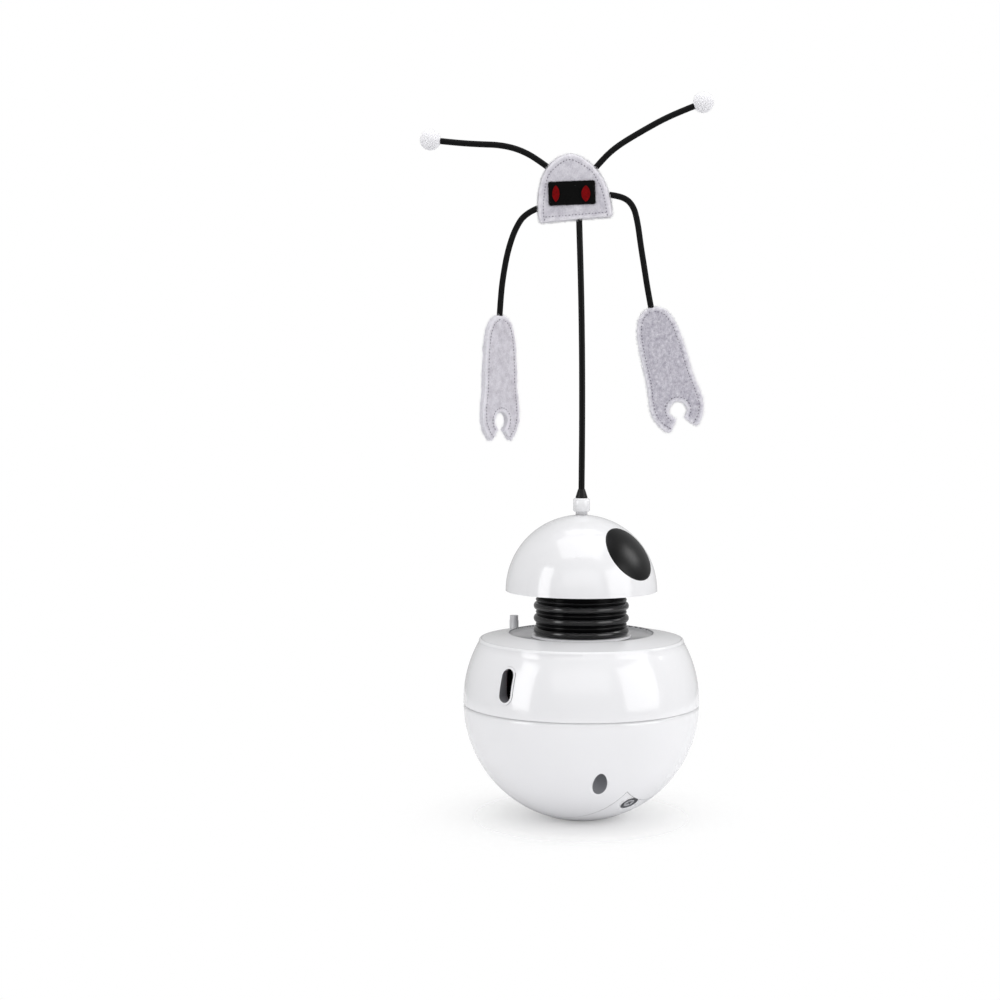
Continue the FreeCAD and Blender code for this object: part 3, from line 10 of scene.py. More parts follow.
import bmesh
import bpy
import numpy as np
from bpy.types import ID, Material, Mesh, Node, NodeSocket, NodeTree, Object, bpy_prop_collection
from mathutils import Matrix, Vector

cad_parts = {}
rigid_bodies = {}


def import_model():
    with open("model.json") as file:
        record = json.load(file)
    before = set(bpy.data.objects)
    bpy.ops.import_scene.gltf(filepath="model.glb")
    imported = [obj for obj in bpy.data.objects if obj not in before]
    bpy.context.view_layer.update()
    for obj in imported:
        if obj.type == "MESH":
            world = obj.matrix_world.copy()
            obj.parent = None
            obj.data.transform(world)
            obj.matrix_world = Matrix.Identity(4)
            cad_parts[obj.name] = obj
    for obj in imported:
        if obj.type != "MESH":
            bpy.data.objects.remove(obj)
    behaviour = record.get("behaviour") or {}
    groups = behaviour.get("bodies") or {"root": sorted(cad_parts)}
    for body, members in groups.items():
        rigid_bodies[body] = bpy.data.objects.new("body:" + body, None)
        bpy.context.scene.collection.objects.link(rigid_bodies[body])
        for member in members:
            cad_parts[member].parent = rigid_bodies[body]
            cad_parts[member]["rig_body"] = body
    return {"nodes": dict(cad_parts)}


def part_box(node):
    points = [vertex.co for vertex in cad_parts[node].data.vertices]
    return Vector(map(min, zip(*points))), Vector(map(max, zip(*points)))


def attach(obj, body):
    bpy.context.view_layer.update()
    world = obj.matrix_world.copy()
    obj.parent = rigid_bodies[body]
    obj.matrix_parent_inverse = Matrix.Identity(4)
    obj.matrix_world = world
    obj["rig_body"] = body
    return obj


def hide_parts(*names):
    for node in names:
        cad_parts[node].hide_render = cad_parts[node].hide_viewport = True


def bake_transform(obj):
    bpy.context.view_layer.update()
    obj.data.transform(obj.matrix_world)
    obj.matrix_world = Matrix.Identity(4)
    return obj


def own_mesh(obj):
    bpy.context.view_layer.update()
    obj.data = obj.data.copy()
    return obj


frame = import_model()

LOG = logging.getLogger("toy")
MM = 0.001
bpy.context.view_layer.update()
Point = tuple[float, float, float]
Pair = tuple[float, float]
Line = tuple[Pair, ...]


class Shade(Enum):
    """Colours read off the real materials, as sRGB hex, save one grey of painted shade for cut walls and
    wells.
    """

    SHELL = "#EAEAEC"
    BUTTON = "#C9C9CC"
    RUBBER = "#040405"
    EYE = "#030304"
    FELT = "#B4B0B9"
    FELT_PALE = "#BAB7C1"
    FELT_EDGE = "#E6E4EA"
    FELT_LIGHT = "#E0DEE5"
    FELT_DARK = "#9C98A6"
    THREAD = "#47434D"
    BAND = "#070707"
    RED = "#8C0409"
    RED_DARK = "#5E0205"
    CORD = "#0A0A0A"
    CORD_HIGH = "#171718"
    POM = "#F8F8FA"
    POM_SHADE = "#F1F0F4"
    WAND = "#080808"
    # painted shade, not a colour of the plastic: the grey of cut walls, gaps and wells in shadow
    PAINTED_SHADE = "#77787C"
    STEEL = "#B9BABD"
    SPRING = "#C6C7C9"
    BRASS = "#C9A25A"
    BRONZE = "#A87B48"
    NYLON = "#E6E1D3"
    CHASSIS = "#3A3B3F"
    BOARD = "#155B34"
    CASE = "#1B1B1D"
    CELL = "#26292E"
    CLEAR = "#F6DADA"
    FLOOR = "#F4F4F5"
    WHITE = "#FFFFFF"


def linear(shade: Shade) -> tuple[float, float, float, float]:
    """Turn a shade's sRGB hex colour to linear light by the standard's curve.

    Args:
        shade: the shade, whose value is a colour such as "#C5C2CC".

    Returns:
        Red, green, blue and alpha in linear light.
    """
    parts = [int(shade.value[i:i + 2], 16) / 255 for i in (1, 3, 5)]
    red, green, blue = [c / 12.92 if c <= 0.04045 else ((c + 0.055) / 1.055) ** 2.4 for c in parts]
    return red, green, blue, 1.0


def add_node(tree: NodeTree, kind: str, links: dict | None = None,
             **settings: object) -> Node:
    """Add one shader node.

    Args:
        tree: the node tree.
        kind: node type without its first word, such as "Bump".
        links: input name or index to an output socket or a plain value.
        settings: properties of the node.

    Returns:
        The new node.
    """
    node = tree.nodes.new("ShaderNode" + kind)
    for name, value in settings.items():
        setattr(node, name, value)
    for name, value in (links or {}).items():
        if isinstance(value, NodeSocket):
            tree.links.new(value, node.inputs[name])
        else:
            node.inputs[name].default_value = value
    return node


def new_material(name: str, **shader: object) -> tuple[Material, NodeTree, Node]:
    """Make a material with one Principled shader.

    Args:
        name: plain name of the real material and its making.
        shader: values of the shader's inputs, underscores standing for spaces.

    Returns:
        The material, its node tree and its shader node.
    """
    material = bpy.data.materials.new(name)
    material.use_nodes = True
    tree = material.node_tree
    surface = tree.nodes["Principled BSDF"]
    for key, value in shader.items():
        surface.inputs[key.replace("_", " ")].default_value = value
    return material, tree, surface


def colour_ramp(tree: NodeTree, factor: NodeSocket, low: Shade, high: Shade,
                start: float = 0.3) -> NodeSocket:
    """Blend two shades by a factor.

    Args:
        tree: the node tree.
        factor: socket that picks the shade.
        low: shade at the start.
        high: shade at the end, from a factor of 0.7 on.
        start: factor where the low shade ends.

    Returns:
        The colour socket.
    """
    ramp = add_node(tree, "ValToRGB", {"Fac": factor})
    first, last = ramp.color_ramp.elements
    first.position, first.color = start, linear(low)
    last.position, last.color = 0.7, linear(high)
    return ramp.outputs["Color"]


def noise(tree: NodeTree, size_mm: float, detail: float, rough: float = 0.5,
          stretch: Point = (1.0, 1.0, 1.0)) -> NodeSocket:
    """Noise in object space whose cells measure a real size.

    Args:
        tree: the node tree.
        size_mm: size of one cell in millimetres.
        detail: octaves.
        rough: strength of the finer octaves.
        stretch: scale along each axis.

    Returns:
        The noise's value socket.
    """
    place = add_node(tree, "TexCoord")
    turn = add_node(tree, "Mapping", {"Vector": place.outputs["Object"], "Scale": stretch})
    cells = add_node(tree, "TexNoise", {
        "Vector": turn.outputs["Vector"], "Scale": 1 / (size_mm * MM), "Detail": detail, "Roughness": rough})
    return cells.outputs["Fac"]


def bump(tree: NodeTree, surface: Node, height: NodeSocket, depth_mm: float,
         strength: float) -> None:
    """Raise a shader's surface by a height map of a real depth.

    Args:
        tree: the node tree.
        surface: the shader node.
        height: socket with the height from 0 to 1.
        depth_mm: depth in millimetres.
        strength: share of the effect.
    """
    raised = add_node(tree, "Bump", {"Height": height, "Distance": depth_mm * MM, "Strength": strength})
    tree.links.new(raised.outputs["Normal"], surface.inputs["Normal"])


@dataclass(frozen=True)
class Finish:
    """A finish's name and the record's slot that it stands for, blank if only CAD nodes wear it."""

    name: str
    slot: str

    def make(self) -> Material:
        """Build the material, in the way of each kind of finish.

        Returns:
            The new material.
        """
        raise NotImplementedError


@dataclass(frozen=True)
class GlossMoulding(Finish):
    """Injection moulded plastic from a polished tool: a clear highlight with a faint orange peel."""

    shade: Shade
    roughness: float = 0.14
    grain_mm: float = 4.0
    grain_depth_mm: float = 0.02
    coat: float = 0.25
    shine: float = 0.5
    ior: float = 1.53
    octaves: float = 1.0
    relief: float = 0.25

    def make(self) -> Material:
        """Build the material from an even shade, a thin clear coat and the grain.

        Returns:
            The new material.
        """
        material, tree, surface = new_material(
            self.name, Base_Color=linear(self.shade), Roughness=self.roughness, IOR=self.ior,
            Specular_IOR_Level=self.shine, Coat_Weight=self.coat, Coat_Roughness=0.05)
        grain = noise(tree, self.grain_mm, self.octaves)
        bump(tree, surface, grain, self.grain_depth_mm, self.relief)
        return material


@dataclass(frozen=True)
class MattMoulding(GlossMoulding):
    """Moulded plastic from a spark eroded tool: matt, uncoated, with a fine grain."""

    roughness: float = 0.55
    grain_mm: float = 0.5
    grain_depth_mm: float = 0.03
    coat: float = 0.0
    ior: float = 1.5
    octaves: float = 2.0
    relief: float = 0.5


@dataclass(frozen=True)
class MouldedRubber(Finish):
    """Moulded rubber, glossy black; its reflection is painted weaker in the rib valleys as painted shade."""

    shade: Shade
    roughness: float = 0.2
    shine: float = 0.62
    shaded_valley_shine: float = 0.05

    def make(self) -> Material:
        """Build the material; the vertices' "rib" value turns down the valleys' reflection as painted shade.

        Returns:
            The new material.
        """
        material, tree, surface = new_material(
            self.name, Base_Color=linear(self.shade), IOR=1.52, Roughness=self.roughness)
        rib = add_node(tree, "Attribute", attribute_name="rib")
        # painted shade: less reflection down in the valleys, where the ribs would shade them
        valley_shade = add_node(tree, "MapRange", {
            "Value": rib.outputs["Fac"], "To Min": self.shaded_valley_shine, "To Max": self.shine})
        tree.links.new(valley_shade.outputs["Result"], surface.inputs["Specular IOR Level"])
        return material


@dataclass(frozen=True)
class WoolFelt(Finish):
    """Pressed wool felt: matt, mottled by its fibres, with a soft sheen and a pale cut edge."""

    dark: Shade
    light: Shade
    fibre_mm: float = 0.45
    mottle_mm: float = 1.6
    rim_lift: float = 0.26
    sheen: float = 0.25
    nap_mm: float = 0.22
    grain: Point = (1.0, 1.0, 0.45)

    def make(self) -> Material:
        """Build the material, lighter where the noises are high and by the vertices' "rim" value.

        Returns:
            The new material.
        """
        material, tree, surface = new_material(
            self.name, Roughness=0.95, Sheen_Weight=self.sheen, Sheen_Roughness=0.5, Specular_IOR_Level=0.1)
        fibres = noise(tree, self.fibre_mm, detail=4.0, rough=0.7, stretch=self.grain)
        mottle = noise(tree, self.mottle_mm, detail=3.0, rough=0.6)
        both = add_node(tree, "Math", {0: fibres, 1: mottle}, operation="ADD")
        mean = add_node(tree, "Math", {0: both.outputs[0], 1: 0.5}, operation="MULTIPLY")
        rim = add_node(tree, "Attribute", attribute_name="rim")
        lift = add_node(tree, "Math", {
            0: rim.outputs["Fac"], 1: self.rim_lift, 2: mean.outputs[0]}, operation="MULTIPLY_ADD")
        colour = colour_ramp(tree, lift.outputs[0], self.dark, self.light, start=0.36)
        tree.links.new(colour, surface.inputs["Base Color"])
        bump(tree, surface, fibres, self.nap_mm, strength=0.7)
        return material


@dataclass(frozen=True)
class WaxedCord(Finish):
    """Round braided cord, waxed: matt black with fine strands that catch a little light."""

    dark: Shade
    light: Shade
    strand_mm: float = 0.7
    strand_depth_mm: float = 0.08

    def make(self) -> Material:
        """Build the material.

        Returns:
            The new material.
        """
        material, tree, surface = new_material(self.name, Roughness=0.62, Specular_IOR_Level=0.08)
        strands = noise(tree, self.strand_mm, detail=3.0, rough=0.6)
        tree.links.new(colour_ramp(tree, strands, self.dark, self.light), surface.inputs["Base Color"])
        bump(tree, surface, strands, self.strand_depth_mm, strength=0.6)
        return material


@dataclass(frozen=True)
class Metal(Finish):
    """Bare metal, turned or drawn: bright, with fine tool marks."""

    shade: Shade
    roughness: float = 0.3
    mark_mm: float = 0.4
    marks_along: Point = (1.0, 1.0, 6.0)

    def make(self) -> Material:
        """Build the material, whose roughness varies a little with the marks.

        Returns:
            The new material.
        """
        material, tree, surface = new_material(self.name, Base_Color=linear(self.shade), Metallic=1.0)
        marks = noise(tree, self.mark_mm, detail=3.0, rough=0.6, stretch=self.marks_along)
        spread = add_node(tree, "MapRange", {
            "Value": marks, "To Min": self.roughness - 0.08, "To Max": self.roughness + 0.1})
        tree.links.new(spread.outputs["Result"], surface.inputs["Roughness"])
        return material


@dataclass(frozen=True)
class ClearLens(Finish):
    """Moulded acrylic lens, clear and polished, lit red from behind."""

    shade: Shade
    glow: Shade

    def make(self) -> Material:
        """Build the material.

        Returns:
            The new material.
        """
        return new_material(
            self.name, Base_Color=linear(self.shade), Roughness=0.05, IOR=1.49, Transmission_Weight=0.4,
            Emission_Color=linear(self.glow), Emission_Strength=2.0)[0]


@dataclass
class Finishes:
    """Every finish of the toy by name, each made once."""

    kinds: dict[str, Finish]
    made: dict[str, Material] = field(default_factory=dict)

    def get(self, name: str) -> Material:
        """Return a finish's material, making it the first time.

        Args:
            name: name of the finish.

        Returns:
            The material.
        """
        if name not in self.made:
            self.made[name] = self.kinds[name].make()
        return self.made[name]


FINISHES = Finishes({kind.name: kind for kind in (
    GlossMoulding("gloss white moulded abs", "shell", Shade.SHELL),
    GlossMoulding("light grey moulded button", "grey_plastic", Shade.BUTTON, roughness=0.25),
    GlossMoulding("black moulded plug", "black_plastic", Shade.WAND, roughness=0.3, coat=0.0, shine=0.25),
    GlossMoulding("polished black eye lens", "lens_black", Shade.EYE, roughness=0.3, grain_mm=9.0,
                  grain_depth_mm=0.01, coat=0.0, shine=0.22),
    MouldedRubber("black moulded rubber", "bellows_rubber", Shade.RUBBER),
    WoolFelt("grey wool felt", "felt_grey", Shade.FELT_DARK, Shade.FELT_LIGHT),
    WoolFelt("pale wool felt", "felt_grey", Shade.FELT_PALE, Shade.FELT_EDGE, mottle_mm=3.0, nap_mm=0.12),
    WoolFelt("brushed wool felt", "felt_grey", Shade.FELT, Shade.FELT_LIGHT, fibre_mm=0.4, mottle_mm=3.0,
             nap_mm=0.12),
    WoolFelt("black satin stitch", "felt_black", Shade.BAND, Shade.CORD, fibre_mm=0.3, mottle_mm=1.2,
             rim_lift=0.0, sheen=0.02),
    WoolFelt("red satin stitch", "felt_red", Shade.RED_DARK, Shade.RED, fibre_mm=0.3, mottle_mm=1.2,
             rim_lift=0.0, sheen=0.02),
    WoolFelt("white wool pom", "pom_white", Shade.POM_SHADE, Shade.POM, fibre_mm=0.35, mottle_mm=2.0,
             nap_mm=0.06),
    WoolFelt("loose white fibre", "pom_white", Shade.POM_SHADE, Shade.POM, fibre_mm=0.35, mottle_mm=2.0),
    WoolFelt("grey stitching thread", "felt_grey", Shade.THREAD, Shade.FELT_DARK, fibre_mm=0.3,
             mottle_mm=1.0),
    WaxedCord("black waxed cord", "cord_black", Shade.CORD, Shade.CORD_HIGH),
    MattMoulding("black wand sleeve", "wand_black", Shade.WAND, roughness=0.45, shine=0.13),
    # painted shade: a flat grey for cut walls, gaps and wells that would lie in shadow
    MattMoulding("painted shade on cut edges", "", Shade.PAINTED_SHADE, roughness=0.8, shine=0.1),
    Metal("zinc plated steel", "", Shade.STEEL),
    Metal("nickel plated spring wire", "spring_steel", Shade.SPRING, roughness=0.22),
    Metal("turned brass", "", Shade.BRASS, roughness=0.25),
    Metal("sintered bronze", "", Shade.BRONZE, roughness=0.45),
    MattMoulding("natural nylon", "", Shade.NYLON, roughness=0.4),
    MattMoulding("dark grey moulded abs", "", Shade.CHASSIS),
    MattMoulding("green glass fibre board", "", Shade.BOARD, roughness=0.35),
    MattMoulding("black moulded component", "", Shade.CASE, roughness=0.5),
    GlossMoulding("dark shrink sleeve", "", Shade.CELL, roughness=0.25),
    ClearLens("clear acrylic lens", "", Shade.CLEAR, glow=Shade.RED),
)})


def paint(piece: Object, finish: str) -> None:
    """Give a new piece its finish.

    Args:
        piece: mesh or curve object.
        finish: name of the finish.
    """
    piece.data.materials.append(FINISHES.get(finish))


def dress(node: str, finish: str) -> None:
    """Give a CAD node its finish.

    Args:
        node: the CAD node's name.
        finish: name of the finish.
    """
    target = frame["nodes"][node]
    target.data.materials.clear()
    target.data.materials.append(FINISHES.get(finish))


def new_object(name: str, data: ID) -> Object:
    """Make an object and link it to the scene.

    Args:
        name: the object's name.
        data: its mesh, curve, light or camera.

    Returns:
        The new object.
    """
    piece = bpy.data.objects.new(name, data)
    bpy.context.scene.collection.objects.link(piece)
    return piece


def vectors(items: bpy_prop_collection, key: str) -> np.ndarray:
    """Read one vector from each vertex or face of a mesh.

    Args:
        items: the mesh's vertices or polygons.
        key: name of the vector, such as "co".

    Returns:
        Array of shape (n, 3).
    """
    values = np.empty(len(items) * 3, np.float32)
    items.foreach_get(key, values)
    return values.reshape(-1, 3)


def store(piece: Object, name: str, share: np.ndarray) -> None:
    """Store a share for each vertex, for a material to read.

    Args:
        piece: mesh object.
        name: the attribute's name.
        share: array of shape (n,), which is cut to between 0 and 1.
    """
    attribute = piece.data.attributes.new(name, "FLOAT", "POINT")
    attribute.data.foreach_set("value", np.clip(share, 0.0, 1.0).astype(np.float32))


def unit(rows: np.ndarray) -> np.ndarray:
    """Turn vectors into directions.

    Args:
        rows: array of shape (n, k).

    Returns:
        Array of the same shape, with rows of length 1.
    """
    return rows / np.maximum(np.linalg.norm(rows, axis=1, keepdims=True), 1e-9)


def finish_mesh(name: str, mesh: Mesh, source: Mesh | None = None, merge: float = 1e-6,
                sharp_deg: float = 38.0) -> Object:
    """Weld a mesh, shade it smooth and link it as an object.

    Args:
        name: the object's name.
        mesh: the mesh.
        source: mesh to copy as it is; without one, the mesh's own faces are turned outwards.
        merge: distance under which points are welded, in metres.
        sharp_deg: edges that turn more than this stay sharp.

    Returns:
        The new object.
    """
    work = bmesh.new()
    work.from_mesh(source or mesh)
    bmesh.ops.remove_doubles(work, verts=work.verts, dist=merge)
    if source is None:
        bmesh.ops.recalc_face_normals(work, faces=work.faces)
    work.to_mesh(mesh)
    work.free()
    mesh.shade_smooth()
    mesh.set_sharp_from_angle(angle=math.radians(sharp_deg))
    return new_object(name, mesh)


def grid_mesh(name: str, points: np.ndarray, wrap_u: bool = False) -> Object:
    """Make a mesh object from a grid of points whose last column joins the first.

    Args:
        name: the object's name.
        points: array of shape (u, v, 3) in metres.
        wrap_u: join the last row to the first.

    Returns:
        The object, shaded smooth.
    """
    count_u, count_v = points.shape[:2]
    u = np.arange(count_u if wrap_u else count_u - 1)[:, None]
    v = np.arange(count_v)[None, :]
    after_u, after_v = (u + 1) % count_u, (v + 1) % count_v
    corners = [u * count_v + v, after_u * count_v + v, after_u * count_v + after_v, u * count_v + after_v]
    faces = np.stack([np.broadcast_to(c, (u.size, v.size)).ravel() for c in corners], axis=1)
    mesh = bpy.data.meshes.new(name)
    mesh.from_pydata(points.reshape(-1, 3).tolist(), [], faces.tolist())
    return finish_mesh(name, mesh)


def smooth_copy(node: str, name: str, finish: str, rides: bool = True) -> Object:
    """Copy a CAD node with its triangles welded, so that gloss runs smoothly.

    Args:
        node: the CAD node that the copy replaces.
        name: the new piece's name.
        finish: name of its finish.
        rides: whether it moves with the node's body, as all but a bending piece do.

    Returns:
        The new piece.
    """
    source = frame["nodes"][node]
    piece = finish_mesh(name, bpy.data.meshes.new(name), source.data, sharp_deg=28.0)
    piece.data.materials.clear()
    paint(piece, finish)
    if rides:
        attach(piece, source["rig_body"])
    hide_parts(node)
    return piece


@dataclass(frozen=True)
class Faces:
    """Middles and directions of a piece's faces, as arrays of shape (n, 3), in metres."""

    centre: np.ndarray
    normal: np.ndarray


def paint_shade(name: str, choose: Callable[[Faces], np.ndarray]) -> None:
    """Paint the chosen faces a flat grey, as painted shade where cut walls, gaps and wells lie in shadow.

    Args:
        name: the piece's name.
        choose: gives one truth value for each face.
    """
    mesh = bpy.data.objects[name].data
    mesh.materials.append(FINISHES.get("painted shade on cut edges"))
    dark = choose(Faces(vectors(mesh.polygons, "center"), vectors(mesh.polygons, "normal")))
    mesh.polygons.foreach_set("material_index", dark.astype(np.int32))
    mesh.update()


@dataclass(frozen=True)
class Rib:
    """One rib of the rubber neck in mm: its middle's height, half its width at the root and its rise."""

    middle: float
    half: float
    rise: float


@dataclass(frozen=True)
class Body:
    """The round body: two gloss shells, the deck, the neck, the slot, the button and the battery door.

    The lengths are in metres, but those of the neck, from root to pitch, are in mm.
    """

    gloss: tuple[str, ...] = ("lower_shell", "upper_shell", "deck_cover", "slot_bezel", "battery_door")
    radius: float = 0.0525
    lower_centre: float = 0.051723
    upper_centre: float = 0.053023
    bevel: float = 0.0005
    skin: float = 0.00025
    deepest: float = 0.012
    inner_ball: float = -0.9
    slot_way: Point = (-0.6225, -0.7826, 0.0)
    slot_front: float = 0.7
    step: Pair = (0.0319, 0.0332)
    step_above: float = 0.081
    button_travel: float = 0.0018
    root: float = 19.85
    bore: float = 18.35
    ribs: tuple[Rib, ...] = (Rib(1.72, 1.7, 1.35), Rib(4.47, 0.55, 0.4))
    pitch: float = 5.5
    pitches: int = 3
    rows: int = 220
    columns: int = 160

    def build(self) -> None:
        """Build every visible piece of the body."""
        for node in self.gloss:
            smooth_copy(node, node + "_moulding", "gloss white moulded abs")
        smooth_copy("power_button", "power_button_moulding", "light grey moulded button")
        self.make_bellows()
        self.make_button_spring()
        # painted shade on the slot's inner walls, the shells' and door's cut walls, seam and wells, and the
        # deck ring's step
        paint_shade("slot_bezel_moulding", self.inside_slot)
        for node, height in (("battery_door", self.lower_centre), ("lower_shell", self.lower_centre),
                             ("upper_shell", self.upper_centre)):
            paint_shade(node + "_moulding", partial(self.cut, height=height))
        paint_shade("deck_cover_moulding", self.ring_step)
        for node in ("shell_screws", "door_screw"):
            dress(node, "zinc plated steel")

    def inside_slot(self, faces: Faces) -> np.ndarray:
        """Find the faces of the slot's rim that are deeper than its bevel and don't look out of it.

        Args:
            faces: the piece's faces.

        Returns:
            One truth value for each face.
        """
        deep = np.linalg.norm(faces.centre - [0, 0, self.upper_centre], axis=1) < self.radius - self.bevel
        return deep & (faces.normal @ self.slot_way < self.slot_front)

    def cut(self, faces: Faces, height: float) -> np.ndarray:
        """Find the walls and wells cut into a shell, under its outside and apart from its inner ball.

        Args:
            faces: the piece's faces.
            height: height of the ball's middle in metres.

        Returns:
            One truth value for each face.
        """
        out = faces.centre - [0, 0, height]
        reach = np.linalg.norm(out, axis=1)
        wall = (faces.normal * out).sum(axis=1) > self.inner_ball * reach
        return wall & (reach < self.radius - self.skin) & (reach > self.radius - self.deepest)

    def ring_step(self, faces: Faces) -> np.ndarray:
        """Find the low upright step round the deck's ring.

        Args:
            faces: the piece's faces.

        Returns:
            One truth value for each face.
        """
        x, y, z = faces.centre.T
        reach = np.hypot(x, y)
        near = (reach > self.step[0]) & (reach < self.step[1]) & (z > self.step_above)
        return near & (np.abs(faces.normal[:, 2]) < 0.5)

    def make_button_spring(self) -> None:
        """Copy the spring under the button as a smooth piece with a mesh of its own."""
        spring = smooth_copy("button_spring", "button_spring_wire", "nickel plated spring wire")
        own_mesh(spring)

    def make_bellows(self) -> None:
        """Turn the ribbed rubber neck.

        The outside at height h is root + max(sqrt(R^2 - d^2) - R + rise) over the ribs, never under the
        root, where d is the distance to a rib's middle and R = (half^2 + rise^2) / (2 rise) makes an arc of
        the rib's half width and rise. Each pitch has a main rib and a small one.
        """
        low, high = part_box("neck_bellows")
        height = (high[2] - low[2]) / MM
        h = np.linspace(0, height, self.rows)
        grow = np.zeros_like(h)
        for rib in self.ribs:
            arc = (rib.half ** 2 + rib.rise ** 2) / (2 * rib.rise)
            for turn in range(self.pitches):
                off = h - rib.middle - turn * self.pitch
                grow = np.maximum(grow, np.sqrt(np.maximum(arc ** 2 - off ** 2, 0)) - arc + rib.rise)
        r = np.concatenate([self.root + grow, np.full(2, self.bore)])
        z = np.concatenate([h, [height, 0.0]]) * MM + low[2]
        a = np.linspace(0, 2 * np.pi, self.columns, endpoint=False)
        points = np.stack([np.outer(r, np.cos(a)) * MM, np.outer(r, np.sin(a)) * MM,
                           np.outer(z, np.ones_like(a))], axis=-1)
        bellows = grid_mesh("neck_bellows_moulding", points, wrap_u=True)
        reach = np.hypot(*vectors(bellows.data.vertices, "co").T[:2]) / MM
        # the rib value also sets the painted shade of the valleys' reflection
        store(bellows, "rib", (reach - self.root) / self.ribs[0].rise)
        paint(bellows, "black moulded rubber")
        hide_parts("neck_bellows")
        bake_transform(bellows)


@dataclass(frozen=True)
class Workings:
    """What the shells hide: battery box, board, motor, gears, spindle and laser."""

    finishes: tuple[tuple[str, str], ...] = (
        ("dark grey moulded abs", "battery_box drive_chassis laser_cradle laser_bracket"),
        ("dark shrink sleeve", "batteries"),
        ("nickel plated spring wire", "contact_plates contact_springs spindle_clip"),
        ("zinc plated steel", "ballast_front ballast_rear board_screws chassis_screws drive_motor "
                              "motor_screws motor_shaft idler_axle turntable_screw head_screws"),
        ("green glass fibre board", "control_board"),
        ("black moulded component", "board_components power_switch"),
        ("turned brass", "motor_pinion collar_nut laser_barrel"),
        ("natural nylon", "idler_gear output_gear"),
        ("gloss white moulded abs", "spindle turntable head_base"),
        ("sintered bronze", "upper_bush lower_bush"),
        ("clear acrylic lens", "laser_lens"),
    )

    def build(self) -> None:
        """Dress every inner CAD node."""
        for finish, nodes in self.finishes:
            for node in nodes.split():
                dress(node, finish)


@dataclass(frozen=True)
class Head:
    """The domed head with its glossy eye, the wand's collar, its plug and the bending wand."""

    pieces: tuple[tuple[str, str], ...] = (
        ("head_dome", "gloss white moulded abs"),
        ("eye_lens", "polished black eye lens"),
        ("wand_collar", "gloss white moulded abs"),
        ("wand_plug", "black moulded plug"),
    )
    bend_from: float = 0.1485
    held: float = 0.012

    def build(self) -> None:
        """Build the head's visible pieces and the wand, which rides on no body."""
        for node, finish in self.pieces:
            smooth_copy(node, node + "_moulding", finish)
        wand = smooth_copy("wand_rod", "wand_rod", "black wand sleeve", rides=False)
        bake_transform(wand)


@dataclass(frozen=True)
class CordRoute:
    """A cord's centreline in metres, the part's points in the plane y = 0, and how it hangs."""

    name: str
    replaced: str
    body: str
    length: float
    stiffness: str
    lay: str
    hangs: str
    line: Line
    radius: float = 0.00135

    def build(self) -> None:
        """Lay the round cord along its route as a smooth curve."""
        curve = bpy.data.curves.new(self.name, "CURVE")
        curve.dimensions = "3D"
        curve.bevel_depth = self.radius
        curve.bevel_resolution = 5
        curve.use_fill_caps = True
        spline = curve.splines.new("NURBS")
        spline.points.add(len(self.line) - 1)
        spline.points.foreach_set("co", [c for x, z in self.line for c in (x, 0.0, z, 1.0)])
        spline.order_u = 3
        spline.use_endpoint_u = True
        spline.resolution_u = 12
        piece = new_object(self.name, curve)
        paint(piece, "black waxed cord")
        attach(piece, self.body)
        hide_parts(self.replaced)


